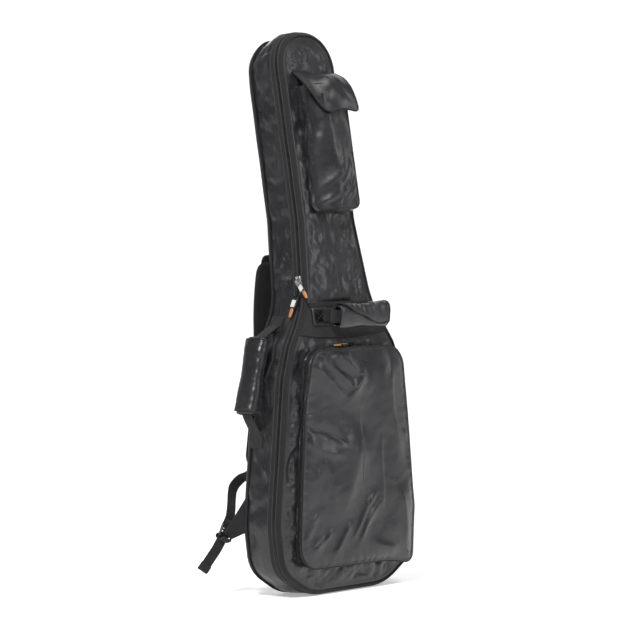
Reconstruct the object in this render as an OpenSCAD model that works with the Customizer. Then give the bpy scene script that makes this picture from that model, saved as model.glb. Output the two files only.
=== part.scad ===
// Padded gig bag for an electric guitar, standing on its base with the front towards -Y.
// The origin is the centre of the flat base. Heights above bend_z are measured along the
// neck section, which leans back: lean() carries them to their place.

/* [Bag] */
// Length along the centre line, from the base to the top of the head
bag_length = 1058; // [1040:1:1075]
// Width across the lower bout
bout_width = 380; // [370:1:390]
// Width of the neck section
neck_width = 150; // [146:1:156]
// Depth of the side wall, from the back seam to the zip
side_depth = 68; // [64:1:72]
// Backward lean of the neck section, in degrees
neck_lean = 8.5; // [6:0.5:9]

/* [Padding] */
// Thickness of the outer fabric
fabric_t = 1.2; // [1:0.1:1.4]
// Thickness of the foam in the side wall
side_foam_t = 8; // [6:0.5:9]
// Thickness of the foam in the front and back panels
panel_foam_t = 9.6; // [8:0.2:10]
// Thickness of the lining
lining_t = 0.8; // [0.6:0.1:1]

/* [Front pocket] */
// Width at the bottom of the front pocket
pocket_bottom_w = 318; // [312:1:322]
// Width at the top of the front pocket
pocket_top_w = 256; // [250:1:262]
// Depth of the pocket's gusset
pocket_depth = 24; // [22:1:28]
// Height of the pocket's lower edge
pocket_z0 = 56; // [50:1:60]
// Height of the pocket's upper edge
pocket_z1 = 456; // [450:1:458]

/* [Head pocket] */
// Width of the pocket on the neck
head_pocket_w = 96; // [90:1:98]
// Depth of the pocket on the neck
head_pocket_depth = 36; // [32:1:44]
// Height of its lower edge along the neck
head_pocket_z0 = 712; // [708:1:730]
// Height of its open upper edge along the neck
head_pocket_z1 = 946; // [940:1:950]

/* [Handles and straps] */
// Width of the handle and strap webbing
webbing_w = 25; // [24:1:28]
// Thickness of the webbing
webbing_t = 2; // [1.6:0.1:2.4]
// Width of a shoulder pad
pad_w = 62; // [56:1:64]
// Thickness of a shoulder pad
pad_t = 12; // [10:1:13]

/* [Hidden] */

bend_z = 472;              // height of the fold between the body and the neck section
zip_y = -side_depth / 2;   // plane in which the two halves of the main zip meet
back_y = side_depth / 2;   // plane of the back seam
lid_gap = 0.4;             // clearance between the case and the opening front
lid_y = zip_y - lid_gap;
panel_t = fabric_t + panel_foam_t + lining_t;
front_y = lid_y - panel_t; // outer face of the front panel
rear_y = back_y + panel_t; // outer face of the back panel
wall_t = fabric_t + side_foam_t + lining_t;
tape_t = 0.8;
tape_w = 14;
coil_t = 2.4;
coil_w = 2.4;
zip_stop_z0 = 126;         // the main zip ends short of the hinged stretch
zip_stop_z1 = 424;
hinge_z0 = 158;            // straight stretch of the right edge, which is bound
hinge_z1 = 393;
base_cut_z = 95;           // where the base, side and head strips of the wall meet
base_z = 3.4;              // height of the wall at the base, above its swelling that the bag stands on
big = 2400;

// Height of a place on the neck section, from its distance along the bag
function up(s) = bend_z + (s - bend_z) * cos(neck_lean);
head_cut_z = up(bag_length - 73);

// Corners of the right half of the outline, from the base to the head: x, height, radius
half_w = bout_width / 2;
neck_x = neck_width / 2;
shoulder_r = 150;
corners = [[0, base_z, 0], [half_w - 100, base_z, 190], [half_w - 10, 56, 80], [half_w + 4, 140, 110],
    [half_w - 27, 405, 110], [half_w - 44, 462, 60], [neck_x + 19, up(541), shoulder_r],
    [neck_x - 0.5, up(700), 150], [neck_x, head_cut_z, 0], [neck_x, up(bag_length), 68],
    [0, up(bag_length), 0]];

// ---- outline ----
function unit(v) = v / norm(v);
function cross2(a, b) = a[0] * b[1] - a[1] * b[0];
function left_of(v) = [-v[1], v[0]];
function xy(p) = [p[0], p[1]];
function turn(a) = (a + 900) % 360 - 180;
// Direction of the edge that leaves corner i of the path
function edge_dir(path, i) = unit(xy(path[i + 1]) - xy(path[i]));
// The corner path moved inwards by d, with its radii kept parallel
function inset_corners(path, d) = [for (i = [0:len(path) - 1])
    let (last = len(path) - 1,
        before = i == 0 ? [1, 0] : edge_dir(path, i - 1),
        after = i == last ? [-1, 0] : edge_dir(path, i),
        n1 = left_of(before),
        n2 = left_of(after),
        p = xy(path[i]) + (n1 + n2) * d / (1 + n1 * n2),
        bulge = cross2(before, after) >= 0 ? 1 : -1)
    [p[0], p[1], path[i][2] == 0 ? 0 : path[i][2] - bulge * d]];
// Points of an arc of radius r that rounds corner p between its neighbours a and b
function rounded_corner(a, p, b, r) = r == 0 ? [p] :
    let (u = unit(a - p),
        v = unit(b - p),
        half = acos(u * v) / 2,
        c = p + unit(u + v) * r / sin(half),
        from = p + u * r / tan(half) - c,
        to = p + v * r / tan(half) - c,
        a0 = atan2(from[1], from[0]),
        sweep = turn(atan2(to[1], to[0]) - a0),
        n = max(2, ceil(abs(sweep) / 7)))
    [for (k = [0:n]) c + r * [cos(a0 + sweep * k / n), sin(a0 + sweep * k / n)]];
function rounded_path(path) = [for (i = [1:len(path) - 2])
    each rounded_corner(xy(path[i - 1]), xy(path[i]), xy(path[i + 1]), path[i][2])];
function mirrored(points) = [for (i = [len(points) - 1:-1:0]) [-points[i][0], points[i][1]]];
function outline(d) = let (half = rounded_path(inset_corners(corners, d))) concat(half, mirrored(half));

module outline_2d(d) polygon(outline(d));
module ring_2d(d0, d1) {
    difference() {
        outline_2d(d0);
        outline_2d(d1);
    }
}
module unzipped_2d() translate([100, zip_stop_z0]) square([200, zip_stop_z1 - zip_stop_z0]);
// Part of the outline's height that a strip of the side wall covers
module strip_2d(side, z0, z1) translate([side == 1 ? 0 : -big / 2, z0])
    square([side == 0 ? big : big / 2, z1 - z0]);
// A rectangle with rounded corners, from x0, z0 to x1, z1
module rounded_2d(x0, z0, x1, z1, r) {
    ring = [[x0, z1], [x0, z0], [x1, z0], [x1, z1], [x0, z1], [x0, z0]];
    polygon([for (i = [1:4]) each rounded_corner(ring[i - 1], ring[i], ring[i + 1], r)]);
}
// A band of even thickness t along a path
function band(points, t) =
    let (n = len(points) - 1,
        normals = [for (i = [0:n]) let (
            a = left_of(unit(points[max(i, 1)] - points[max(i, 1) - 1])),
            b = left_of(unit(points[min(i, n - 1) + 1] - points[min(i, n - 1)])))
            (a + b) / (1 + a * b)])
    concat([for (i = [0:n]) points[i] + normals[i] * t / 2],
        [for (i = [n:-1:0]) points[i] - normals[i] * t / 2]);

// ---- placing ----
// Stands a drawing in x and z up between two depths
module depth(y0, y1) translate([0, y1, 0]) rotate([90, 0, 0]) linear_extrude(y1 - y0) children();
// Stands a drawing in y and z up between two places across the bag
module across(x0, x1) translate([x0, 0, 0]) rotate([90, 0, 90]) linear_extrude(x1 - x0) children();
// Carries a shape of the neck section to where the lean puts it
module lean() translate([0, 0, bend_z]) rotate([-neck_lean, 0, 0]) translate([0, 0, -bend_z]) children();
// Where the plane at depth y folds, and where it is at the top of the bag
function fold_at(y) = [y, bend_z - y * tan(neck_lean / 2)];
function top_at(y) = [y * cos(neck_lean) + 700 * sin(neck_lean),
    bend_z - y * sin(neck_lean) + 700 * cos(neck_lean)];
// A drawing in x and z carried through the bag between two folded planes
module folded(y0, y1) intersection() {
    depth(-150, 300) children();
    across(-300, 300) polygon([[y0, -20], [y1, -20], fold_at(y1), top_at(y1), top_at(y0), fold_at(y0)]);
}
// Depth of the folded plane y at height z, on the neck section
function plane_y(y, z) = fold_at(y)[0] + (z - fold_at(y)[1]) * tan(neck_lean);

// ---- case ----
module wall_strip(d0, d1, side, z0, z1) folded(zip_y, back_y) intersection() {
    ring_2d(d0, d1);
    strip_2d(side, z0, z1);
}
// The base swells between the zip tape and the piping, so that the bag stands on fabric
module base_gusset() color("#2c2c30") {
    wall_strip(0, fabric_t, 0, -10, base_cut_z);
    depth(zip_y + tape_w + 0.5, back_y - 2.5) intersection() {
        difference() {
            translate([0, -base_z]) outline_2d(0);
            outline_2d(fabric_t / 2);
        }
        strip_2d(0, -10, base_cut_z);
    }
}
module left_gusset() color("#2c2c30") wall_strip(0, fabric_t, -1, base_cut_z, head_cut_z);
module right_gusset() color("#2c2c30") wall_strip(0, fabric_t, 1, base_cut_z, head_cut_z);
module head_gusset() color("#2c2c30") wall_strip(0, fabric_t, 0, head_cut_z, big);
foam_joint = 0.5;          // gap between neighbouring pieces of foam
// Heights at which the foam is pieced, so that it follows the waist and the shoulder
foam_cuts = [466, 508, 527, 545, 563, 583, 698];
// The wall's foam within a rectangle of the outline
module wall_foam(x0, z0, x1, z1) folded(zip_y, back_y) intersection() {
    ring_2d(fabric_t, fabric_t + side_foam_t);
    translate([x0, z0]) square([x1 - x0, z1 - z0]);
}
module gusset_foam() color("#d8d8d4") {
    j = foam_joint / 2;
    cuts = concat([56, base_cut_z, 290], foam_cuts, [790, head_cut_z]);
    wall_foam(-70 + j, -10, 70 - j, 56 - j);
    for (side = [-1, 1]) mirror([side == 1 ? 0 : 1, 0, 0]) {
        wall_foam(70 + j, -10, 140 - j, 56 - j);
        wall_foam(140 + j, -10, 220, 56 - j);
        for (k = [0:len(cuts) - 2]) wall_foam(20, cuts[k] + j, 220, cuts[k + 1] - j);
        wall_foam(j, head_cut_z + j, 55 - j, big);
        wall_foam(55 + j, head_cut_z + j, 220, big);
    }
}
// A panel's foam between two depths
module foam_sheet(y0, y1) {
    cuts = concat([-10], foam_cuts, [big]);
    folded(y0, y1) for (k = [0:len(cuts) - 2]) intersection() {
        outline_2d(fabric_t);
        strip_2d(0, cuts[k], cuts[k + 1] - foam_joint);
    }
}
module gusset_lining() color("#4a4a50") folded(zip_y, back_y) ring_2d(fabric_t + side_foam_t, wall_t);
// A tray of fabric, from its open face to its outer face; out is 1 for the back, -1 for the front
module fabric_tray(y0, y1, out) difference() {
    folded(min(y0, y1), max(y0, y1)) outline_2d(0);
    folded(min(y0 - out, y1 - out * fabric_t), max(y0 - out, y1 - out * fabric_t)) outline_2d(fabric_t);
}
module back_panel() color("#26262a") fabric_tray(back_y, rear_y, 1);
module back_foam() color("#d8d8d4") foam_sheet(back_y + lining_t, rear_y - fabric_t);
module back_lining() color("#4a4a50") folded(back_y, back_y + lining_t) outline_2d(fabric_t);
module back_piping() color("#1b1b1d") folded(back_y - 2, back_y + 2) ring_2d(-2.4, 0);
module case_zip_tape() color("#1b1b1d") folded(zip_y, zip_y + tape_w) difference() {
    ring_2d(-tape_t, 0);
    unzipped_2d();
}
module case_zip_coil() color("#111112") folded(zip_y, zip_y + coil_w) difference() {
    ring_2d(-tape_t - coil_t, -tape_t);
    unzipped_2d();
}
module hinge_binding() color("#1b1b1d") folded(zip_y, zip_y + tape_w) intersection() {
    ring_2d(-tape_t, 0);
    translate([100, hinge_z0]) square([200, hinge_z1 - hinge_z0]);
}
module neck_cradle() color("#3a3a3e") {
    half = neck_x - wall_t - 4; // just clear of the side walls
    lean() difference() {
        translate([-half, 4, 700]) cube([2 * half, back_y - 4.2, 60]);
        translate([0, 0, 699]) cylinder(h = 62, r = 27, $fn = 48);
    }
}
module end_guard() color("#19191b") translate([-36, -26, base_z + wall_t + 0.2]) cube([72, 52, 6]);
module neck_strap() color("#202022") lean() translate([-56, 0.6, 711]) cube([112, 2.4, 38]);

// ---- handles: drawn along X, outwards is -Y, width along Z, base plane y = 0 ----
patch_t = 2;
patch_w = 34;
patch_h = 30;
pivot_out = 12.2;   // the line a handle swings on, clear of its patches by half the webbing's width
module handle_patch() translate([-patch_w / 2, -patch_t, -patch_h / 2]) cube([patch_w, patch_t, patch_h]);
function handle_path(span, grip, reach) = [[-span / 2, -pivot_out], [-grip / 2 - 3, -reach],
    [grip / 2 + 3, -reach], [span / 2, -pivot_out]];
module handle_webbing(span, grip, reach) translate([0, 0, -webbing_w / 2]) linear_extrude(webbing_w)
    polygon(band(handle_path(span, grip, reach), webbing_t));
module handle_grip(grip, reach, thick, wide) difference() {
    translate([0, -reach, 0]) across(-grip / 2, grip / 2)
        rounded_2d(-thick / 2, -wide / 2, thick / 2, wide / 2, 9);
    translate([-grip, -reach - webbing_t / 2, -webbing_w / 2]) cube([2 * grip, webbing_t, webbing_w]);
}

side_grip = 142;
side_reach = 46;
side_y = 15;
side_low_z = 295;
side_high_s = 506;
// Place of the outline at a height on its edge that leaves corner i
function edge_x(i, z) = corners[i][0]
    + (corners[i + 1][0] - corners[i][0]) * (z - corners[i][1]) / (corners[i + 1][1] - corners[i][1]);
function edge_tilt(i) = atan2(corners[i][0] - corners[i + 1][0], corners[i + 1][1] - corners[i][1]);
side_low = [-edge_x(3, side_low_z), side_low_z];
side_high = [-edge_x(5, up(side_high_s)), up(side_high_s)];
side_span = norm(side_high - side_low);
side_tilt = atan2(side_high[0] - side_low[0], side_high[1] - side_low[1]);
// Carries a handle's frame to the left wall of the bag: its X goes up, its -Y outwards
module on_left_wall(x, y, z, tilt) translate([x, y, z]) rotate([0, tilt, 0]) rotate([0, -90, -90]) children();
module side_handle_low_anchor() color("#222225")
    on_left_wall(side_low[0], side_y, side_low[1], edge_tilt(3)) handle_patch();
// The upper patch follows the curve of the wall, which has begun to turn into the shoulder
module side_handle_top_anchor() color("#222225") folded(side_y - 18, side_y + 12) intersection() {
    ring_2d(-patch_t, 0);
    translate(side_high) rotate(edge_tilt(5)) square([40, patch_w], center = true);
}
module on_side_line() on_left_wall((side_low[0] + side_high[0]) / 2, side_y,
    (side_low[1] + side_high[1]) / 2, side_tilt) children();
module side_handle_webbing() color("#1c1c1e") on_side_line() handle_webbing(side_span, side_grip, side_reach);
module side_handle_grip() color("#2e2e32") on_side_line() handle_grip(side_grip, side_reach, 24, 42);

front_span = 144;
front_grip = 136;
front_reach = 38;
front_handle_x = 13;
front_handle_s = 512;
front_droop = 14;   // the handle hangs a little below its anchors
yoke_t = 1;
module on_yoke() lean() translate([front_handle_x, front_y - yoke_t, front_handle_s]) children();
module drooping() translate([0, -pivot_out, 0]) rotate([front_droop, 0, 0]) translate([0, pivot_out, 0]) children();
module front_handle_left_anchor() color("#303036") on_yoke() translate([-front_span / 2, 0, 0]) handle_patch();
module front_handle_right_anchor() color("#303036") on_yoke() translate([front_span / 2, 0, 0]) handle_patch();
module front_handle_webbing() color("#1c1c1e") on_yoke() drooping()
    handle_webbing(front_span, front_grip, front_reach);
module front_handle_grip() color("#2e2e32") on_yoke() drooping() handle_grip(front_grip, front_reach, 24, 46);

// ---- shoulder straps: the left one; the right one is its mirror ----
pad_low = [-128, 238];   // lower end of the pad, in x and z
pad_tilt = 10;           // lean of the pad towards the centre
pad_path = [[66, 0], [66, 60], [66, 130], [68, 190], [75, 240], [82, 290], [85, 340], [84, 385]];
web_tilt = 30;           // lean of the webbing below it
web_path = [[84, -120], [86, -106], [94, -84], [103, -60], [107, -42], [98, -26], [82, -17], [67, -13]];
tail_path = [[84, -150], [92, -172], [103, -192], [110, -214]];
lock_run = -134;         // place of the ladder lock along the webbing
lock_y = 84;
tab_x = -184;
module from_pad(tilt) translate([pad_low[0], 0, pad_low[1]]) rotate([0, tilt, 0]) children();
module strap_yoke() color("#202024") lean() depth(rear_y, rear_y + 2) rounded_2d(-64, 575, 64, 662, 8);
// A pad with rounded ends: the path gives its depth and run
module shoulder_pad() from_pad(pad_tilt) intersection() {
    across(-pad_w / 2, pad_w / 2) polygon(band(pad_path, pad_t));
    depth(0, 200) rounded_2d(-pad_w / 2, 0, pad_w / 2, 385, 22);
}
module strap_webbing() from_pad(web_tilt)
    across(-webbing_w / 2, webbing_w / 2) polygon(band(web_path, webbing_t));
module strap_tab() across(tab_x - 1.25, tab_x + 1.25)
    polygon([[rear_y, 196], [rear_y, 122], [rear_y + 30, 112], [rear_y + 30, 124], [rear_y + 14, 156]]);
// Ladder lock: a moulded frame with one bar between two slots, in the plane of the webbing
module ladder_lock() from_pad(web_tilt) translate([0, 0, lock_run]) depth(lock_y - 2.5, lock_y + 2.5) difference() {
    rounded_2d(-18, -13, 18, 13, 4);
    for (z = [-9, 2]) translate([-14, z]) square([28, 7]);
}
module strap_tail() from_pad(web_tilt)
    across(-webbing_w / 2, webbing_w / 2) polygon(band(tail_path, webbing_t));
module right_side() mirror([1, 0, 0]) children();
module left_strap_tab() color("#202024") strap_tab();
module right_strap_tab() color("#202024") right_side() strap_tab();
module left_shoulder_pad() color("#1a191c") shoulder_pad();
module right_shoulder_pad() color("#1a191c") right_side() shoulder_pad();
module left_strap_webbing() color("#1c1c1e") strap_webbing();
module right_strap_webbing() color("#1c1c1e") right_side() strap_webbing();
module left_ladder_lock() color("#141415") ladder_lock();
module right_ladder_lock() color("#141415") right_side() ladder_lock();
module left_strap_tail() color("#1c1c1e") strap_tail();
module right_strap_tail() color("#1c1c1e") right_side() strap_tail();

// ---- opening front ----
module front_panel() color("#2c2c30") fabric_tray(lid_y, front_y, -1);
module front_foam() color("#d8d8d4") foam_sheet(front_y + fabric_t, lid_y - lining_t);
module front_lining() color("#4a4a50") folded(lid_y - lining_t, lid_y) outline_2d(fabric_t);
module lid_zip_tape() color("#1b1b1d") folded(front_y, lid_y) difference() {
    ring_2d(-tape_t, 0);
    unzipped_2d();
}
module lid_zip_coil() color("#111112") folded(lid_y - coil_w, lid_y) difference() {
    ring_2d(-tape_t - coil_t, -tape_t);
    unzipped_2d();
}
module waist_yoke() color("#202024") folded(front_y - yoke_t, front_y) intersection() {
    outline_2d(2);
    strip_2d(0, 483, up(541));
}

// ---- front pocket ----
pocket_x = 8;                           // it sits a little to the right
pocket_wall = 2;
pocket_zip_y = front_y - pocket_depth / 2;
pocket_lid_y = pocket_zip_y - lid_gap;
pocket_front_y = front_y - pocket_depth;
pocket_panel_t = 3;
pocket_bulge = 9;                       // how far the stuffed panel stands proud
module pocket_2d(d) translate([pocket_x, 0]) {
    low = pocket_bottom_w / 2 - d;
    high = pocket_top_w / 2 - d;
    z0 = pocket_z0 + d;
    z1 = pocket_z1 - d;
    ring = [[-high, z1], [-low, z0], [low, z0], [high, z1], [-high, z1], [-low, z0]];
    radii = [0, 45, 24, 44, 34, 0];
    polygon([for (i = [1:4]) each rounded_corner(ring[i - 1], ring[i], ring[i + 1], max(radii[i] - d, 3))]);
}
module pocket_ring_2d(d0, d1) {
    difference() {
        pocket_2d(d0);
        pocket_2d(d1);
    }
}
// The zip runs all round but for the right edge, which is the pocket's hinge
module pocket_zip_2d() difference() {
    pocket_ring_2d(-tape_t - 1.6, 0);
    translate([90, pocket_z0 + 8]) square([200, pocket_z1 - pocket_z0 - 28]);
}
module pocket_gusset() color("#2c2c30") depth(pocket_zip_y, front_y) pocket_ring_2d(0, pocket_wall);
module pocket_lid_gusset() color("#2c2c30") depth(pocket_front_y, pocket_lid_y) pocket_ring_2d(0, pocket_wall);
// Each half of the zip is a tape with a thicker bead of coil along its edge
module pocket_zip_tape() color("#1b1b1d") {
    depth(pocket_zip_y, pocket_zip_y + 2.4) pocket_zip_2d();
    depth(pocket_zip_y + 2.4, pocket_zip_y + 12) intersection() {
        pocket_zip_2d();
        pocket_2d(-tape_t);
    }
}
module pocket_lid_zip_tape() color("#1b1b1d") {
    depth(pocket_lid_y - 2.4, pocket_lid_y) pocket_zip_2d();
    depth(pocket_lid_y - 12, pocket_lid_y - 2.4) intersection() {
        pocket_zip_2d();
        pocket_2d(-tape_t);
    }
}
module pocket_panel() color("#303034") {
    rise = (pocket_bulge - pocket_panel_t) / 3;
    depth(pocket_front_y - pocket_panel_t, pocket_front_y) pocket_2d(0);
    for (k = [1:3]) depth(pocket_front_y - pocket_panel_t - k * rise, pocket_front_y - 1) pocket_2d(k * 14);
}

// ---- pocket on the neck ----
head_pocket_x = 4;
head_half = head_pocket_w / 2;
head_front_y = front_y - head_pocket_depth;
module head_pocket_2d(d) difference() {
    rounded_2d(-head_half + d, head_pocket_z0 + d, head_half - d, head_pocket_z1 + 40, 12 - d);
    translate([-100, head_pocket_z1]) square(200);
}
module on_neck() lean() translate([head_pocket_x, 0, 0]) children();
module head_pocket_gusset() color("#2c2c30") on_neck() depth(head_front_y, front_y) difference() {
    head_pocket_2d(0);
    translate([0, 1]) head_pocket_2d(pocket_wall);
}
module head_pocket_front() color("#303034") on_neck()
    depth(head_front_y - pocket_wall, head_front_y) head_pocket_2d(0);
module pocket_loop_patch() color("#1f1f22") on_neck()
    depth(head_front_y - pocket_wall - 1.4, head_front_y - pocket_wall) rounded_2d(-25, 905, 25, 930, 2);
flap_s = head_pocket_z1 + 28;   // height of the seam that the flap hangs from
flap_out = head_pocket_depth + 11;
flap_path = [[-2.4, 0], [-20, -2], [11 - flap_out, -12], [-flap_out, -34], [-flap_out, -76]];   // y and z from the seam
module head_pocket_flap() color("#2c2c30") on_neck() intersection() {
    translate([0, front_y, flap_s]) across(-head_half - 2, head_half + 2) polygon(band(flap_path, 2.4));
    depth(front_y - 90, front_y) rounded_2d(-head_half - 2, flap_s - 76, head_half + 2, flap_s + 60, 30);
}
module flap_hook_patch() color("#1f1f22") on_neck()
    depth(front_y - flap_out + 1.2, front_y - flap_out + 2.6) rounded_2d(-25, 905, 25, 930, 2);

// ---- zip sliders and pulls: travel along +Z, outwards is -Y, the tapes meet under x = 0 ----
module slider() {
    translate([-5.5, -3, -8]) cube([11, 3, 16]);
    for (z = [-5, 5]) translate([-1.2, -7.4, z]) cube([2.4, 4.4, 1.6]);
    translate([-1.2, -9, -5]) cube([2.4, 1.6, 11.6]);
}
link_y = -5.2;   // the link hangs in the middle of the slider's bridge
link_z = 2.25;   // its top bar, which it flips on
// A stamped link: its upper hole goes round the bridge, its lower one holds the tag
module pull_link() translate([0, link_y, 0]) difference() {
    depth(-0.7, 0.7) rounded_2d(-7, -18.5, 7, link_z + 0.55, 2.2);
    translate([-4.6, -4, -6.8]) cube([9.2, 8, 6.8 + link_z - 0.55]);
    translate([-4, -4, -15.5]) cube([8, 8, 4]);
}
// A moulded tag that grips the link's lower bar, through its hole
module pull_tag() difference() {
    translate([0, link_y, 0]) depth(-2.2, 2.2) rounded_2d(-4.5, -50, 4.5, -12, 2.5);
    pull_link();
}
slider_out = tape_t + coil_t + 0.3;   // the slider's underside, from the wall
// Carries a slider's frame to the left edge of the neck section: x and z on the outline, its tilt
module on_left_zip(x, z, tilt, out) translate([x, plane_y(zip_y, z), z]) rotate([0, tilt, 0])
    rotate([-atan(cos(tilt) * tan(neck_lean)), 0, 0]) rotate([0, 0, -90]) translate([0, -out, 0]) children();
upper_z = up(587);
upper_x = -edge_x(6, upper_z);
module at_upper() on_left_zip(upper_x, upper_z, edge_tilt(6), slider_out) children();
// The lower slider starts on the arc that rounds the shoulder, at its upper end
shoulder_turn = edge_tilt(5) - edge_tilt(6);
shoulder_p = corners[6];
shoulder_u = [-sin(edge_tilt(6)), cos(edge_tilt(6))];
arc_top = xy(shoulder_p) + shoulder_u * shoulder_r * tan(shoulder_turn / 2);
arc_centre = arc_top + shoulder_r * [cos(edge_tilt(6)), sin(edge_tilt(6))];
lower_turn = edge_tilt(6) + 5.4;
lower_at = arc_centre - shoulder_r * [cos(lower_turn), sin(lower_turn)];
module at_lower() on_left_zip(-lower_at[0], lower_at[1], lower_turn, slider_out + 0.6) children();
// The pocket's slider travels along the top edge, with its outside up and its pull to the left
pocket_slider_x = 6;
module at_pocket() translate([pocket_slider_x, pocket_zip_y, pocket_z1 + tape_t + 1.6 + 0.3])
    rotate([0, 90, 0]) rotate([0, 0, -90]) children();
upper_swing = 37;    // the upper pull lies towards the front, the lower one towards the back
lower_swing = -13;
rest_lift = 10;      // both hang a little out from the wall, which swells below them
// Swings a pull sideways and lifts it on its top bar
module hung(swing) rotate([0, -swing, 0]) translate([0, link_y, link_z]) rotate([-rest_lift, 0, 0])
    translate([0, -link_y, -link_z]) children();
module upper_slider() color("#c9c9cb") at_upper() slider();
module upper_pull_link() color("#e2e2de") at_upper() hung(upper_swing) pull_link();
module upper_pull_tag() color("#d9925c") at_upper() hung(upper_swing) pull_tag();
module lower_slider() color("#151516") at_lower() slider();
module lower_pull_link() color("#e2e2de") at_lower() hung(lower_swing) pull_link();
module lower_pull_tag() color("#d9925c") at_lower() hung(lower_swing) pull_tag();
module pocket_slider() color("#151516") at_pocket() slider();
module pocket_pull_link() color("#e2e2de") at_pocket() pull_link();
module pocket_pull_tag() color("#c08a50") at_pocket() pull_tag();

base_gusset();
left_gusset();
right_gusset();
head_gusset();
gusset_foam();
gusset_lining();
back_panel();
back_foam();
back_lining();
back_piping();
case_zip_tape();
case_zip_coil();
hinge_binding();
neck_cradle();
end_guard();
neck_strap();
side_handle_top_anchor();
side_handle_low_anchor();
side_handle_webbing();
side_handle_grip();
strap_yoke();
left_strap_tab();
right_strap_tab();
left_shoulder_pad();
right_shoulder_pad();
left_strap_webbing();
right_strap_webbing();
left_ladder_lock();
right_ladder_lock();
left_strap_tail();
right_strap_tail();
front_panel();
front_foam();
front_lining();
lid_zip_tape();
lid_zip_coil();
waist_yoke();
front_handle_left_anchor();
front_handle_right_anchor();
front_handle_webbing();
front_handle_grip();
pocket_gusset();
pocket_zip_tape();
pocket_lid_gusset();
pocket_lid_zip_tape();
pocket_panel();
pocket_slider();
pocket_pull_link();
pocket_pull_tag();
head_pocket_gusset();
head_pocket_front();
pocket_loop_patch();
head_pocket_flap();
flap_hook_patch();
upper_slider();
upper_pull_link();
upper_pull_tag();
lower_slider();
lower_pull_link();
lower_pull_tag();
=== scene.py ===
"""Padded gig bag: the visual model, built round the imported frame. Lengths are in millimetres
until a mesh is made."""

import math

import bpy
import bmesh
import numpy as np
from mathutils import Matrix, Vector


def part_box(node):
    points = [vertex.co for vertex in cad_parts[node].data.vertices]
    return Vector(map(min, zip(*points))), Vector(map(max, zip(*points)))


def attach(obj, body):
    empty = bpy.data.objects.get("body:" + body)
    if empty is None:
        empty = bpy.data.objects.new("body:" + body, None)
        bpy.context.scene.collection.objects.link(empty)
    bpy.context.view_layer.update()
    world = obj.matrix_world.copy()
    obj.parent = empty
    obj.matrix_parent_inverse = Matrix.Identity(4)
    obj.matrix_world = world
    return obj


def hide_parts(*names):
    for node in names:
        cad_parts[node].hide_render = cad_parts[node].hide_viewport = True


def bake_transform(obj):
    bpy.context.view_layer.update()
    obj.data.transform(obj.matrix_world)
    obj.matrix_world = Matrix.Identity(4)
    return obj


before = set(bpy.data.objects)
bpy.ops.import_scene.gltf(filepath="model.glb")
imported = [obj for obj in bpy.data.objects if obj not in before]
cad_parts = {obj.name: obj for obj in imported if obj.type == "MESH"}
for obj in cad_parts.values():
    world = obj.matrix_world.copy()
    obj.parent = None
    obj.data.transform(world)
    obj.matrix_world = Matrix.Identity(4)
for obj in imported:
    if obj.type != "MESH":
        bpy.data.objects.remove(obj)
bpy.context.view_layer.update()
MM = 0.001


def mm_box(node):
    """A CAD node's corners in millimetres."""
    low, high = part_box(node)
    return np.array(low) / MM, np.array(high) / MM


# ---- camera ----
scene = bpy.context.scene
AZIMUTH, ELEVATION, ROLL, DISTANCE = -49.0, 1.6, -1.2, 5.5
cam_data = bpy.data.cameras.new("camera")
camera = bpy.data.objects.new("camera", cam_data)
scene.collection.objects.link(camera)
scene.camera = camera
az, el, roll = (math.radians(v) for v in (AZIMUTH, ELEVATION, ROLL))
back = Vector((math.sin(az) * math.cos(el), -math.cos(az) * math.cos(el), math.sin(el)))
right = Vector((math.cos(az), math.sin(az), 0))
up = back.cross(right)
cam_x = right * math.cos(roll) + up * math.sin(roll)
cam_y = up * math.cos(roll) - right * math.sin(roll)
turn = Matrix((cam_x, cam_y, back)).transposed().to_4x4()
camera.matrix_world = Matrix.Translation(Vector((0, -0.034, 0.52)) + back * DISTANCE) @ turn
cam_data.sensor_width = 36
cam_data.lens = 167.3
cam_data.shift_x = -0.038
cam_data.shift_y = -0.001
cam_data.clip_start, cam_data.clip_end = 0.1, 100

# ---- sizes, from the CAD frame ----
FRONT_Y = mm_box("front_panel")[0][1]
PANEL_THICK, LID_GAP = 11.6, 0.4
REAR_Y = mm_box("base_gusset")[1][1] + PANEL_THICK
ZIP_Y = mm_box("base_gusset")[0][1]
SEAM_Y = mm_box("base_gusset")[1][1]
LID_Y = ZIP_Y - LID_GAP
LEAN = math.radians(8.5)
BEND_Z = 472.0
TOP_Z = mm_box("head_gusset")[1][2]
BASE_Z = 3.4  # the wall's height over the floor, above its swelling
HEAD_CUT = mm_box("head_gusset")[0][2]
FOLD_SOFT = 34.0  # half the height over which the fold is rounded


def up_z(s):
    """Height of a place on the neck section, from its distance along the bag."""
    return BEND_Z + (s - BEND_Z) * math.cos(LEAN)


def lean(p):
    """Carries points of the unbent neck section to where the lean puts them."""
    p = np.asarray(p, float)
    q = p.copy()
    s = p[..., 2] - BEND_Z
    q[..., 1] = p[..., 1] * math.cos(LEAN) + s * math.sin(LEAN)
    q[..., 2] = BEND_Z - p[..., 1] * math.sin(LEAN) + s * math.cos(LEAN)
    return q


def smoothstep(x, low, high):
    t = np.clip((x - low) / (high - low), 0, 1)
    return t * t * (3 - 2 * t)


def unit(v):
    return v / np.linalg.norm(v, axis=-1)[..., None]


def run_of(path):
    """Distances along a path."""
    return np.concatenate([[0], np.cumsum(np.linalg.norm(np.diff(path, axis=0), axis=1))])


def at_run(t, run, path):
    """Points of a path at distances t along it."""
    return np.stack([np.interp(t, run, path[:, k]) for k in range(path.shape[1])], 1)


def between(x, a, b, c, d):
    """Rises from 0 to 1 between a and b, and falls back between c and d."""
    return smoothstep(x, a, b) * (1 - smoothstep(x, c, d))


def squared(c, power):
    """A cosine or sine bent so that a circle becomes a rounded square."""
    return np.sign(c) * np.abs(c) ** power


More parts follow.
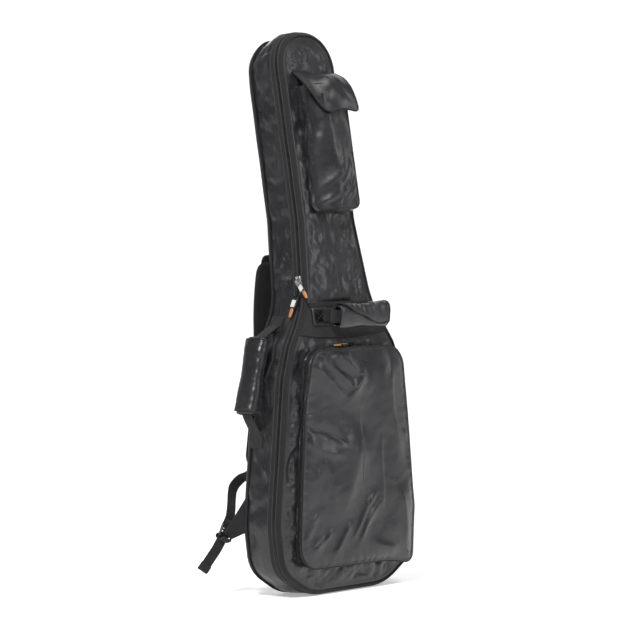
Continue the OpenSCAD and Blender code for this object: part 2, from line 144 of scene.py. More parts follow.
def spot(carry, *place):
    """One place, carried."""
    return carry(np.array([place], float))[0]


def heading(carry, *way):
    """One direction, carried."""
    return spot(carry, *way) - spot(carry, 0, 0, 0)


def patch_on(carry, x=0.0, y=0.0, side=-1):
    """Carries a patch's (u, v, w) so that it lies upright and faces out along side."""
    return lambda p: carry(np.column_stack([p[:, 0] + x, y + side * p[:, 2], p[:, 1]]))


def fold(p):
    """Leans back what is above the fold, keeping heights, with the fold itself rounded."""
    q = np.array(p, float)
    t = q[..., 2] - (BEND_Z - q[..., 1] * math.tan(LEAN / 2))
    soft = np.clip((t + FOLD_SOFT) / (2 * FOLD_SOFT), 0, 1)
    ramp = np.where(t > FOLD_SOFT, t, soft**2 * FOLD_SOFT)
    slump = smoothstep(q[..., 2], TOP_Z - 120, TOP_Z - 8) * smoothstep(q[..., 1], -24, 34)
    q[..., 1] = q[..., 1] + ramp * math.tan(LEAN) - 8 * slump
    q[..., 2] = q[..., 2] - 13 * slump
    return q


# ---- outline ----
CORNERS = [
    (0, BASE_Z, 0), (106, BASE_Z, 120), (185, 51, 62), (194, 140, 110), (163, 405, 110), (146, 462, 60),
    (94, up_z(541), 150), (74.5, up_z(700), 150), (75, HEAD_CUT, 0), (75, TOP_Z, 68), (0, TOP_Z, 0),
]
HINGE_LOW, HINGE_HIGH = 126.0, 424.0  # the stretch of the right edge without a zip


def fillet(a, p, b, r, step=4.0):
    """Points of the arc of radius r that rounds corner p between its neighbours."""
    a, p, b = (np.array(v, float) for v in (a, p, b))
    if r == 0:
        return [p]
    u, v = (a - p) / np.linalg.norm(a - p), (b - p) / np.linalg.norm(b - p)
    half = math.acos(float(np.clip(u @ v, -1, 1))) / 2
    if half > math.pi / 2 - 1e-4:
        return [p]
    c = p + (u + v) / np.linalg.norm(u + v) * r / math.sin(half)
    start, end = p + u * r / math.tan(half) - c, p + v * r / math.tan(half) - c
    a0 = math.atan2(start[1], start[0])
    sweep = (math.atan2(end[1], end[0]) - a0 + math.pi) % (2 * math.pi) - math.pi
    n = max(2, int(abs(sweep) * r / step))
    return [c + r * np.array([math.cos(a0 + sweep * k / n), math.sin(a0 + sweep * k / n)])
        for k in range(n + 1)]


def rounded(points, radii):
    """A closed polygon with rounded corners."""
    n = len(points)
    out = []
    for i in range(n):
        out += fillet(points[i - 1], points[i], points[(i + 1) % n], radii[i])
    return np.array(out)


def resample(path, step, closed=True):
    """Points evenly spaced along a path, about step apart."""
    pts = np.vstack([path, path[:1]]) if closed else np.asarray(path, float)
    seg = np.linalg.norm(np.diff(pts, axis=0), axis=1)
    keep = np.concatenate([[True], seg > 1e-6])
    pts = pts[keep]
    run = run_of(pts)
    n = max(3, int(round(run[-1] / step)))
    t = np.linspace(0, run[-1], n + 1)
    if closed:
        t = t[:-1]
    return at_run(t, run, pts)


def normals_2d(path, closed=True):
    """Outward normals of a path that runs anticlockwise."""
    if closed:
        d = np.roll(path, -1, 0) - np.roll(path, 1, 0)
    else:
        d = np.gradient(path, axis=0)
    d /= np.linalg.norm(d, axis=1)[:, None]
    return np.stack([d[:, 1], -d[:, 0]], 1)


def bag_outline(step):
    """The closed outline, from the middle of the base up the right side and down the left, its mirror."""
    half = [CORNERS[0][:2]]
    for i in range(1, len(CORNERS) - 1):
        half += fillet(CORNERS[i - 1][:2], CORNERS[i][:2], CORNERS[i + 1][:2], CORNERS[i][2])
    half = resample(np.array(half + [CORNERS[-1][:2]]), step, closed=False)
    return np.vstack([half, half[-2:0:-1] * [-1, 1]])


OUT = bag_outline(3.8)
OUT_N = normals_2d(OUT)
OUT_RUN = run_of(OUT)


# ---- crumpling ----
def hashed(i, j, seed):
    h = np.sin(i * 127.1 + j * 311.7 + seed * 74.7) * 43758.5453
    return h - np.floor(h)


def corners_of(p, q, seed):
    i, j = np.floor(p), np.floor(q)
    return p - i, q - j, [hashed(i + a, j + b, seed) for a, b in ((0, 0), (1, 0), (0, 1), (1, 1))]


def smooth_noise(p, q, seed):
    """Rounded noise from -0.5 to 0.5."""
    f, g, (h00, h10, h01, h11) = corners_of(p, q, seed)
    f, g = f * f * (3 - 2 * f), g * g * (3 - 2 * g)
    return (h00 * (1 - f) + h10 * f) * (1 - g) + (h01 * (1 - f) + h11 * f) * g - 0.5


def creased_noise(p, q, seed):
    """Flat facets that meet in sharp creases, from -0.5 to 0.5."""
    f, g, (h00, h10, h01, h11) = corners_of(p, q, seed)
    low = h00 + f * (h10 - h00) + g * (h01 - h00)
    high = h11 + (1 - f) * (h01 - h11) + (1 - g) * (h10 - h11)
    return np.where(f + g < 1, low, high) - 0.5


def crumple(a, b, seed, layers, stretch=1.0, angle=0.0):
    """Height of crumpled fabric at places a, b: one layer per (cell size, height). stretch draws the
    creases out along the direction angle."""
    ca, sa = math.cos(angle), math.sin(angle)
    a, b = a * ca + b * sa, (-a * sa + b * ca) * stretch
    total = 0
    for k, (cell, height) in enumerate(layers):
        wa = a + cell * 0.7 * smooth_noise(a / cell * 0.8, b / cell * 0.8, seed + 5 * k + 1)
        wb = b + cell * 0.7 * smooth_noise(a / cell * 0.8, b / cell * 0.8, seed + 5 * k + 2)
        t = 0.6 + 1.9 * k + seed
        p, q = (wa * math.cos(t) + wb * math.sin(t)) / cell, (-wa * math.sin(t) + wb * math.cos(t)) / cell
        total = total + 2 * height * (0.75 * creased_noise(p, q, seed + k) + 0.25 * smooth_noise(p, q,
            seed + k))
    return total


def puckers(run, away, seed, pitch=36.0, height=3.2):
    """Depth of the gathers along a seam: sharp valleys that slant, and fade away from the seam.
    run goes along the seam, away from it goes from 0 to 1."""
    slant = 26 * smooth_noise(run / 150, run * 0 + 0.4, seed)
    phase = (run + slant * away * 2 + 22 * smooth_noise(run / 60, run * 0 + 1.7, seed + 1)) / pitch
    valley = 1 - np.abs(np.sin(math.pi * phase)) ** 0.45
    size = 0.35 + 1.3 * hashed(np.floor(phase + 0.5), 0.0, seed + 2)
    reach = 0.25 + 0.55 * hashed(np.floor(phase + 0.5), 3.0, seed + 3)
    return height * valley * size * np.clip(1 - away / reach, 0, 1)


# ---- meshes ----
def make(name, verts, faces, body, material, uvs=None, smooth=True, stands_for=(), merge=0.0):
    """A mesh piece from points in millimetres, riding on a body. uvs are per vertex, in metres."""
    mesh = bpy.data.meshes.new(name)
    verts = np.asarray(verts, float) * MM
    mesh.from_pydata([tuple(v) for v in verts], [], [tuple(int(i) for i in f) for f in faces])
    layer = mesh.uv_layers.new(name="UVMap")
    index = np.empty(len(mesh.loops), dtype=np.int64)
    mesh.loops.foreach_get("vertex_index", index)
    if uvs is None:
        uvs = verts[:, [0, 2]]
    layer.data.foreach_set("uv", np.asarray(uvs, float)[index].ravel())
    if merge:
        bm = bmesh.new()
        bm.from_mesh(mesh)
        bmesh.ops.remove_doubles(bm, verts=bm.verts, dist=merge * MM)
        bmesh.ops.dissolve_degenerate(bm, edges=bm.edges, dist=1e-6)
        bmesh.ops.recalc_face_normals(bm, faces=bm.faces)
        bm.to_mesh(mesh)
        bm.free()
    mesh.polygons.foreach_set("use_smooth", [smooth] * len(mesh.polygons))
    mesh.update()
    obj = bpy.data.objects.new(name, mesh)
    scene.collection.objects.link(obj)
    obj.data.materials.append(MATERIALS[material])
    if body:
        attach(obj, body)
    if stands_for:
        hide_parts(*stands_for)
    return obj


def grid_faces(rows, cols, wrap_rows=False, wrap_cols=False, offset=0):
    out = []
    for r in range(rows if wrap_rows else rows - 1):
        r2 = (r + 1) % rows
        for c in range(cols if wrap_cols else cols - 1):
            c2 = (c + 1) % cols
            out.append((offset + r * cols + c, offset + r2 * cols + c, offset + r2 * cols + c2,
                offset + r * cols + c2))
    return out


def grid_uv(points):
    """Distances along the rows and columns of a grid, in metres."""
    along = np.linalg.norm(np.diff(points, axis=0), axis=2).mean(1)
    across = np.linalg.norm(np.diff(points, axis=1), axis=2).mean(0)
    u = np.concatenate([[0], np.cumsum(across)]) * MM
    v = np.concatenate([[0], np.cumsum(along)]) * MM
    uu, vv = np.meshgrid(u, v)
    return np.stack([uu.ravel(), vv.ravel()], 1)


def strip(name, points, body, material, closed=True, **more):
    """A closed band: each row is the outline of its section, in order."""
    points = np.asarray(points, float)
    rows, cols = points.shape[:2]
    faces = grid_faces(rows, cols, closed, True)
    if not closed:
        faces.append(tuple(range(cols)))
        faces.append(tuple((rows - 1) * cols + c for c in reversed(range(cols))))
    return make(name, points.reshape(-1, 3), faces, body, material, grid_uv(points), **more)


def smooth_path(points, step=4.0):
    """A smooth curve through a few points (Catmull-Rom), evenly resampled."""
    p = np.asarray(points, float)
    p = np.vstack([2 * p[0] - p[1], p, 2 * p[-1] - p[-2]])
    out = []
    for i in range(1, len(p) - 2):
        for t in np.linspace(0, 1, 16, endpoint=False):
            a, b, c, d = p[i - 1 : i + 3]
            out.append(0.5 * (2 * b + (c - a) * t + (2 * a - 5 * b + 4 * c - d) * t**2
                + (3 * b - a - 3 * c + d) * t**3))
    out.append(p[-2])
    return resample(np.array(out), step, closed=False)


def swept(name, path, section, hint, body, material, closed=False, **more):
    """Sweeps a closed section (side, up) along a path."""
    path = np.asarray(path, float)
    t = unit(np.roll(path, -1, 0) - np.roll(path, 1, 0) if closed else np.gradient(path, axis=0))
    side = unit(np.cross(t, np.broadcast_to(np.asarray(hint, float), path.shape)))
    upward = np.cross(side, t)
    section = np.asarray(section, float)
    pts = path[:, None] + side[:, None] * section[None, :, :1] + upward[:, None] * section[None, :, 1:]
    return strip(name, pts, body, material, closed=closed, **more)


def circle(r, n=10, flat=1.0):
    a = np.linspace(0, 2 * math.pi, n, endpoint=False)
    return np.stack([r * np.cos(a), r * flat * np.sin(a)], 1)


def flat_section(width, thick):
    """A webbing's section: a flat band with rounded edges."""
    w, h = width / 2 - thick / 2, thick / 2
    top = [(x, h) for x in np.linspace(w, -w, 9)]
    left = [(-w + h * math.cos(a), h * math.sin(a)) for a in np.linspace(math.pi / 2, 3 * math.pi / 2,
        5)[1:-1]]
    low = [(x, -h) for x in np.linspace(-w, w, 9)]
    right_ = [(w + h * math.cos(a), h * math.sin(a)) for a in np.linspace(-math.pi / 2, math.pi / 2, 5)[1:-1]]
    return np.array(top + left + low + right_)


def add_tube(verts, faces, rows):
    """Adds a capped tube, from rows of section points, to a growing mesh."""
    m, n, base = len(rows), len(rows[0]), len(verts)
    for row in rows:
        verts.extend(row)
    faces.extend(grid_faces(m, n, False, True, base))
    faces.append(tuple(base + j for j in range(n)))
    faces.append(tuple(base + (m - 1) * n + j for j in reversed(range(n))))


STITCH_PITCH, STITCH_LENGTH, STITCH_RADIUS = 3.6, 2.7, 0.38


def stitches(name, lines, ups, body):
    """Rows of stitches along paths that lie on a surface; ups are the surface's normals."""
    verts, faces = [], []
    for line, normal in zip(lines, ups):
        line = np.asarray(line, float)
        run = run_of(line)
        normal = np.broadcast_to(np.asarray(normal, float), line.shape)
        for k in range(int(run[-1] // STITCH_PITCH)):
            ts = (k + 0.5) * STITCH_PITCH + np.array([-0.5, -0.3, 0.3, 0.5]) * STITCH_LENGTH
            c = at_run(ts, run, line)
            n = at_run(ts, run, normal)
            d = c[-1] - c[0]
            d /= np.linalg.norm(d) + 1e-9
            s = np.cross(d, n[1])
            s /= np.linalg.norm(s) + 1e-9
            n0 = n[1] / np.linalg.norm(n[1])
            rows = []
            for centre, lift in zip(c, (-0.5, 0.7, 0.7, -0.5)):
                turns = [2 * math.pi * corner / 5 for corner in range(5)]
                rows.append([centre + n0 * STITCH_RADIUS * (lift + math.cos(w) * 0.8)
                    + s * STITCH_RADIUS * math.sin(w) for w in turns])
            add_tube(verts, faces, rows)
    return make(name, verts, faces, body, "thread")


# ---- materials ----
MATERIALS = {}


class Nodes:
    """A small helper that adds nodes and links to a material."""

    def __init__(self, name):
        self.mat = bpy.data.materials.new(name)
        self.mat.use_nodes = True
        self.tree = self.mat.node_tree
        self.tree.nodes.clear()
        self.out = self.tree.nodes.new("ShaderNodeOutputMaterial")
        self.bsdf = self.add("BsdfPrincipled")
        self.link(self.bsdf.outputs[0], self.out.inputs[0])
        self.coord = self.add("TexCoord")
        MATERIALS[name] = self.mat

    def add(self, kind, **values):
        node = self.tree.nodes.new("ShaderNode" + kind)
        for key, value in values.items():
            key = key.replace("_", " ")
            if key in node.inputs:
                node.inputs[key].default_value = value
            else:
                setattr(node, key.replace(" ", "_"), value)
        return node

    def link(self, a, b):
        self.tree.links.new(a, b)

    def mapped(self, source, scale):
        node = self.add("Mapping")
        node.inputs["Scale"].default_value = scale
        self.link(self.coord.outputs[source], node.inputs["Vector"])
        return node.outputs[0]

    def noise(self, vector, scale, detail):
        node = self.add("TexNoise", Scale=scale, Detail=detail, Roughness=0.55)
        self.link(vector, node.inputs["Vector"])
        return node.outputs["Fac"]

    def math(self, op, a, b=None):
        node = self.add("Math", operation=op)
        for k, v in enumerate((a, b)):
            if v is None:
                continue
            if isinstance(v, (int, float)):
                node.inputs[k].default_value = v
            else:
                self.link(v, node.inputs[k])
        return node.outputs[0]

    def span(self, value, low, high, from_low=0.0, from_high=1.0):
        node = self.add("MapRange")
        node.inputs["From Min"].default_value = from_low
        node.inputs["From Max"].default_value = from_high
        node.inputs["To Min"].default_value = low
        node.inputs["To Max"].default_value = high
        self.link(value, node.inputs["Value"])
        return node.outputs[0]

    def colour(self, fac, dark, light):
        node = self.add("Mix", data_type="RGBA")
        for socket, value in ((6, (*dark, 1)), (7, (*light, 1))):
            node.inputs[socket].default_value = value
        self.link(fac, node.inputs[0])
        self.link(node.outputs[2], self.bsdf.inputs["Base Color"])

    def bump(self, height, distance, strength=1.0, after=None):
        node = self.add("Bump")
        node.inputs["Strength"].default_value = strength
        node.inputs["Distance"].default_value = distance
        self.link(height, node.inputs["Height"])
        if after is not None:
            self.link(after, node.inputs["Normal"])
        return node.outputs[0]

    def facets(self, vector, scale, slope):
        """Height of crumpled facets: each Voronoi cell is a plane of its own tilt."""
        cell = self.add("TexVoronoi", Scale=scale)
        self.link(vector, cell.inputs["Vector"])
        scaled = self.add("VectorMath", operation="SCALE")
        self.link(vector, scaled.inputs[0])
        scaled.inputs["Scale"].default_value = scale
        offset = self.add("VectorMath", operation="SUBTRACT")
        self.link(scaled.outputs[0], offset.inputs[0])
        place = self.add("VectorMath", operation="SCALE")
        self.link(cell.outputs["Position"], place.inputs[0])
        place.inputs["Scale"].default_value = scale
        self.link(place.outputs[0], offset.inputs[1])
        tilt = self.add("VectorMath", operation="SUBTRACT")
        self.link(cell.outputs["Color"], tilt.inputs[0])
        tilt.inputs[1].default_value = (0.5, 0.5, 0.5)
        dot = self.add("VectorMath", operation="DOT_PRODUCT")
        self.link(offset.outputs[0], dot.inputs[0])
        self.link(tilt.outputs[0], dot.inputs[1])
        return self.math("MULTIPLY", dot.outputs["Value"], slope)


def set_shader(bsdf, roughness=0.5, specular=0.5, sheen=0.0, sheen_rough=0.4, coat=0.0, coat_rough=0.2,
    metallic=0.0):
    bsdf.inputs["Roughness"].default_value = roughness
    bsdf.inputs["Specular IOR Level"].default_value = specular
    bsdf.inputs["Sheen Weight"].default_value = sheen
    bsdf.inputs["Sheen Roughness"].default_value = sheen_rough
    bsdf.inputs["Coat Weight"].default_value = coat
    bsdf.inputs["Coat Roughness"].default_value = coat_rough
    bsdf.inputs["Metallic"].default_value = metallic


def nylon(name, dark, light, rough, fold_bump, crinkle, coat=0.12):
    """Coated nylon taffeta: a fine plain weave, and crinkles of two sizes."""
    m = Nodes(name)
    obj = m.mapped("Object", (1, 1, 1))
    cloud = m.noise(obj, 14, 4)
    m.colour(m.span(cloud, 0, 1, 0.3, 0.7), dark, light)
    wear = m.noise(obj, 60, 3)
    both = m.math("ADD", m.math("MULTIPLY", cloud, 0.6), m.math("MULTIPLY", wear, 0.4))
    set_shader(m.bsdf, rough, 0.42, 0.0, 0.5, coat, 0.25)
    m.link(m.span(both, rough - 0.07, rough + 0.08, 0.3, 0.7), m.bsdf.inputs["Roughness"])
    warp = m.add("VectorMath", operation="MULTIPLY_ADD")
    noise = m.add("TexNoise", Scale=30.0, Detail=2.0)
    m.link(obj, noise.inputs["Vector"])
    m.link(noise.outputs["Color"], warp.inputs[0])
    warp.inputs[1].default_value = (0.012, 0.012, 0.012)
    m.link(obj, warp.inputs[2])
    big = m.facets(warp.outputs[0], 42, 1.0)
    small = m.facets(warp.outputs[0], 120, 1.0)
    n1 = m.bump(big, 0.0016, fold_bump)
    n2 = m.bump(small, 0.0006, crinkle, n1)
    weave_a = m.add("TexWave", Scale=520.0, wave_type="BANDS", bands_direction="DIAGONAL")
    m.link(m.coord.outputs["UV"], weave_a.inputs["Vector"])
    n3 = m.bump(weave_a.outputs["Fac"], 0.00006, 0.25, n2)
    m.link(n3, m.bsdf.inputs["Normal"])
    return m


def woven(name, dark, light, rib=420.0, across=260.0, height=0.00025, rough=0.86, sheen=0.25):
    """Matte webbing or tape: ribs along UV, over a fine cross weave."""
    m = Nodes(name)
    uv = m.coord.outputs["UV"]
    ribs = m.add("TexWave", Scale=rib, wave_type="BANDS", bands_direction="X")
    cross = m.add("TexWave", Scale=across, wave_type="BANDS", bands_direction="Y")
    for node in (ribs, cross):
        node.inputs["Distortion"].default_value = 0.6
        node.inputs["Detail"].default_value = 1.0
        m.link(uv, node.inputs["Vector"])
    obj = m.mapped("Object", (1, 1, 1))
    fuzz = m.noise(obj, 900, 2)
    cloud = m.noise(obj, 20, 3)
    both = m.math("MULTIPLY", ribs.outputs["Fac"], cross.outputs["Fac"])
    m.colour(m.span(m.math("ADD", m.math("MULTIPLY", both, 0.6), m.math("MULTIPLY", cloud, 0.5)), 0, 1, 0.1,
        0.9), dark, light)
    set_shader(m.bsdf, rough, 0.3, sheen, 0.5)
    n1 = m.bump(both, height, 0.8)
    n2 = m.bump(fuzz, 0.0001, 0.5, n1)
    m.link(n2, m.bsdf.inputs["Normal"])
    return m


def moulded(name, dark, light, rough=0.45, metallic=0.0, grain=800.0, depth=0.00004, coat=0.0):
    """Moulded plastic, rubber or metal with a fine grain and slight wear."""
    m = Nodes(name)
    obj = m.mapped("Object", (1, 1, 1))
    cloud = m.noise(obj, 90, 4)
    m.colour(m.span(cloud, 0, 1, 0.3, 0.7), dark, light)
    set_shader(m.bsdf, rough, 0.5, 0, 0.4, coat, 0.2, metallic)
    m.link(m.span(cloud, max(rough - 0.08, 0.05), rough + 0.1, 0.3, 0.7), m.bsdf.inputs["Roughness"])
    m.link(m.bump(m.noise(obj, grain, 2), depth, 0.6), m.bsdf.inputs["Normal"])
    return m


nylon("nylon", (0.0078, 0.0078, 0.0091), (0.0148, 0.0148, 0.017), 0.33, 0.6, 0.45, 0.06)
nylon("nylon_soft", (0.0086, 0.0086, 0.0101), (0.0138, 0.0138, 0.016), 0.31, 0.2, 0.14, 0.04)
nylon("gloss_patch", (0.004, 0.004, 0.0045), (0.008, 0.008, 0.009), 0.25, 0.1, 0.3, 0.3)
woven("panel_weave", (0.007, 0.007, 0.008), (0.016, 0.016, 0.018), 300, 300, 0.0003, 0.86, 0.06)
woven("webbing", (0.006, 0.006, 0.0065), (0.015, 0.015, 0.016), 380, 230, 0.0004, 0.86, 0.08)
woven("tape", (0.005, 0.005, 0.0056), (0.013, 0.013, 0.014), 620, 500, 0.0002, 0.86, 0.05)
woven("strap_pad", (0.0025, 0.0025, 0.003), (0.006, 0.006, 0.0065), 260, 260, 0.0004, 0.9, 0.03)
woven("edge_cord", (0.016, 0.016, 0.017), (0.03, 0.03, 0.032), 900, 900, 0.0001, 0.7, 0.1)
woven("lining", (0.03, 0.03, 0.034), (0.05, 0.05, 0.056), 300, 300, 0.0002, 0.8)
woven("padding", (0.02, 0.02, 0.022), (0.035, 0.035, 0.038), 300, 300, 0.0003, 0.85)
woven("hook_loop", (0.006, 0.006, 0.006), (0.014, 0.014, 0.014), 700, 700, 0.0006, 0.95)
woven("thread", (0.02, 0.02, 0.022), (0.05, 0.05, 0.054), 900, 900, 0.0001, 0.6, 0.1)
woven("foam", (0.5, 0.5, 0.48), (0.7, 0.7, 0.67), 200, 200, 0.0002, 0.9)
moulded("coil", (0.004, 0.004, 0.004), (0.01, 0.01, 0.011), 0.42)
moulded("teeth", (0.006, 0.006, 0.006), (0.014, 0.014, 0.015), 0.35)
moulded("acetal", (0.006, 0.006, 0.006), (0.012, 0.012, 0.012), 0.38, 0, 1500, 0.00003)
moulded("black_metal", (0.008, 0.008, 0.008), (0.02, 0.02, 0.02), 0.3, 0.6, 600, 0.00002, 0.2)
moulded("bright_metal", (0.5, 0.5, 0.5), (0.7, 0.7, 0.7), 0.2, 1.0, 500, 0.00001)
moulded("link_metal", (0.22, 0.22, 0.22), (0.34, 0.34, 0.34), 0.3, 0.8, 400, 0.00003, 0.2)
moulded("link_black", (0.008, 0.008, 0.008), (0.02, 0.02, 0.02), 0.3, 0.6, 600, 0.00002, 0.2)
moulded("tag_rubber", (0.33, 0.135, 0.05), (0.46, 0.215, 0.09), 0.55, 0, 900, 0.00005)
moulded("pull_black", (0.006, 0.006, 0.006), (0.012, 0.012, 0.012), 0.4, 0, 900, 0.00004)
moulded("pull_white", (0.46, 0.46, 0.45), (0.54, 0.54, 0.53), 0.45, 0, 900, 0.00002)


def on_plane(x, y, z):
    return fold(np.stack(np.broadcast_arrays(np.asarray(x, float), y, z), -1))


# ---- side wall ----
def wavy(run, seed, size=1.4):
    """The slight unevenness of a soft edge, along its length."""
    return size * 2 * (smooth_noise(run / 130, run * 0 + 3.3, seed) + 0.4 * smooth_noise(run / 47,
        run * 0 + 1.3, seed + 1))


EDGE_WAVE = wavy(OUT_RUN, 3, 1.0) * smoothstep(OUT[:, 1], 30, 110)


def ring_point(out, y):
    """Points round the bag at a distance out from its outline and at depth y."""
    p = OUT + OUT_N * (out + EDGE_WAVE)[:, None]
    return on_plane(p[:, 0], y, p[:, 1])


def side_wall():
    outer = []
    ys = [ZIP_Y + 1.0, ZIP_Y + 6, ZIP_Y + 11, *np.linspace(ZIP_Y + 14, SEAM_Y - 1.5, 20), SEAM_Y - 0.3]
    for y in ys:
        t = np.clip((y - (ZIP_Y + 13)) / (SEAM_Y - ZIP_Y - 13), 0, 1)
        swell = 4.4 * math.sin(math.pi * t) ** 0.7 if 0 < t < 1 else 0
        mask = math.sin(math.pi * t) ** 0.5 if 0 < t < 1 else 0
        rough = crumple(OUT_RUN, y, 11, ((44, 3.6), (21, 2.4), (11, 1.0)), 1.5)
        calm = 0.4 + 0.6 * smoothstep(OUT[:, 1], 60, 190)
        gathers = 1.5 * puckers(OUT_RUN, t, 17) * smoothstep(OUT[:, 1], 380, 520) + 1.3 * puckers(OUT_RUN,
            1 - t, 23)
        out = -0.9 + swell * (0.6 + 0.4 * calm) + (rough - gathers) * mask * calm
        outer.append(ring_point(out, y))
    inner = [ring_point(-9.0, SEAM_Y - 0.3), ring_point(-9.0, ZIP_Y + 1.0)]
    pts = np.stack(outer + inner, 1)
    pts[..., 2] = np.maximum(pts[..., 2], 0.2)
    obj = strip("side_wall", pts, "case", "nylon", stands_for=("base_gusset", "left_gusset", "right_gusset",
        "head_gusset", "gusset_foam"))


side_wall()


def zipped():
    """The run of outline points that carries the zip, from the hinge's top round to its foot."""
    right_side = (OUT[:, 0] > 100) & (OUT[:, 1] > HINGE_LOW) & (OUT[:, 1] < HINGE_HIGH)
    first = np.where(right_side)[0][-1] + 1
    count = len(OUT) - int(right_side.sum())
    return (np.arange(count) + first) % len(OUT)


def along(index, out, y):
    p = OUT[index] + OUT_N[index] * (out + EDGE_WAVE[index])[:, None]
    return on_plane(p[:, 0], y, p[:, 1])


def edge_band(name, index, section, body, material, **more):
    """A band along the outline: section is a closed list of (out, y)."""
    pts = np.stack([along(index, o, y) for o, y in section], 1)
    return strip(name, pts, body, material, closed=False, **more)


ZIP_PATH = zipped()
edge_band("case_tape", ZIP_PATH, [(0.4, ZIP_Y + 0.2), (1.1, ZIP_Y + 1), (1.1, ZIP_Y + 8), (1.0, ZIP_Y + 14),
    (0.4, ZIP_Y + 15.4), (-1.6, ZIP_Y + 15.2), (-1.8, ZIP_Y + 7), (-1.8, ZIP_Y + 0.2)], "case", "tape",
    stands_for=("case_zip_tape",))
edge_band("front_tape", ZIP_PATH, [(0.4, LID_Y - 0.2), (1.1, LID_Y - 1), (1.1, LID_Y - 6), (0.6, LID_Y - 9),
    (-1.4, FRONT_Y - 0.6), (-3.6, FRONT_Y - 1.3), (-5.4, FRONT_Y - 1.2), (-5.8, FRONT_Y + 0.2),
    (-4, FRONT_Y + 0.6), (-2.2, FRONT_Y + 4), (-1.6, LID_Y - 0.2)], "lid", "tape",
    stands_for=("lid_zip_tape",))

for name, out, y, body in (("case_zip_edge", 1.2, ZIP_Y + 4.6, "case"),
    ("front_zip_edge", 1.2, LID_Y - 4.6, "lid"), ("case_tape_edge", 1.0, ZIP_Y + 14.6, "case")):
    swept(name, ring_point(out, y)[ZIP_PATH], circle(0.9, 6), (0, 1, 0), body, "edge_cord")


TOOTH = [(0.9, -0.35), (2.4, 0.1), (2.7, 1.0), (2.4, 2.0), (1.4, 2.7), (0.7, 2.3)]
POCKET_TOOTH = [(0.1, -0.3), (1.0, 0.1), (1.3, 0.9), (1.0, 1.8), (0.2, 2.2)]
TOOTH_PITCH = 2.0


def hooks(centres, outward, tangent, profile, half, side):
    """Vertices and faces of one hook per centre; profile is a list of (out, across the zip)."""
    verts, faces = [], []
    m = len(profile)
    for c, n, t in zip(centres, outward, tangent):
        base = len(verts)
        for s in (-half, half):
            verts += [c + n * o + t * s + np.array([0, side * d, 0]) for o, d in profile]
        faces += [(base + j, base + (j + 1) % m, base + m + (j + 1) % m, base + m + j) for j in range(m)]
        faces += [tuple(base + j for j in reversed(range(m))), tuple(base + m + j for j in range(m))]
    return verts, faces


def teeth(name, body, side, stands_for):
    """One half of the coil: a row of small hooked loops along the tape's edge."""
    run = run_of(OUT[ZIP_PATH])
    at = np.arange(TOOTH_PITCH, run[-1] - TOOTH_PITCH, TOOTH_PITCH) + (TOOTH_PITCH / 2 if side > 0 else 0)
    c, n = at_run(at, run, OUT[ZIP_PATH]), at_run(at, run, OUT_N[ZIP_PATH])
    c = c + n * np.interp(at, run, EDGE_WAVE[ZIP_PATH])[:, None]
    deep = np.zeros(len(at))
    centres = np.stack([c[:, 0], deep + ZIP_Y - 0.2, c[:, 1]], 1)
    outward, tangent = np.stack([n[:, 0], deep, n[:, 1]], 1), np.stack([-n[:, 1], deep, n[:, 0]], 1)
    verts, faces = hooks(centres, outward, tangent, TOOTH, 0.42, side)
    return make(name, fold(np.array(verts)), faces, body, "teeth", smooth=False, stands_for=stands_for)


teeth("case_coil", "case", 1, ("case_zip_coil",))
teeth("front_coil", "lid", -1, ("lid_zip_coil",))

# ---- back ----
def disc(path, norm, edge, spine, steps, face_y, inner_y, wave=None):
    """A closed padded panel: edge is a list of (inset, y) from its rim to the start of its face,
    face_y gives the depth over the face, and inner_y is its flat inner side."""
    wave = np.zeros(len(path)) if wave is None else wave
    rings = []
    for inset, y in edge:
        p = path + norm * (wave - inset)[:, None]
        rings.append(np.stack([p[:, 0], np.broadcast_to(np.asarray(y, float), (len(p),)), p[:, 1]], 1))
    last = path + norm * (wave - edge[-1][0])[:, None]
    for k in range(1, steps + 1):
        t = k / steps
        p = last + (spine - last) * t
        rings.append(np.stack([p[:, 0], face_y(p[:, 0], p[:, 1]), p[:, 1]], 1))
    inner = []
    for k in range(4, -1, -1):
        t = k / 4
        p = (path + norm * (wave - 0.8)[:, None]) * (1 - t) + spine * t
        inner.append(np.stack([p[:, 0], np.full(len(p), inner_y), p[:, 1]], 1))
    return rings, inner


def disc_piece(name, rings, inner, body, material, place=fold, **more):
    pts = np.stack(rings + inner, 0)
    rows, cols = pts.shape[:2]
    verts = place(pts.reshape(-1, 3))
    faces = grid_faces(rows, cols, True, True)
    uv = pts.reshape(-1, 3)[:, [0, 2]] * MM
    return make(name, verts, faces, body, material, uv, merge=0.05, **more)


def edge_distance(x, z, path=OUT):
    """Distance from places to the nearest point of a path."""
    x, z = np.ravel(x), np.ravel(z)
    out = np.empty(len(x))
    for i in range(0, len(x), 4000):
        d = (x[i : i + 4000, None] - path[None, :, 0]) ** 2 + (z[i : i + 4000, None] - path[None, :, 1]) ** 2
        out[i : i + 4000] = np.sqrt(d.min(1))
    return out


SPINE = np.stack([np.zeros(len(OUT)), np.clip(OUT[:, 1], 130, 985)], 1)  # where the rings of a panel end


def back_face(x, z):
    d = edge_distance(x, z)
    under_yoke = between(z, 558, 574, 663, 679) * (1 - smoothstep(np.abs(x), 66, 82))
    quilt = 2.2 * smoothstep(d, 10, 60) * (1 - 0.7 * under_yoke)
    rough = crumple(x, z, 31, ((60, 2.0), (26, 1.1), (13, 0.5))) * smoothstep(d, 12, 40)
    return REAR_Y - 0.5 + quilt + rough * (1 - under_yoke)


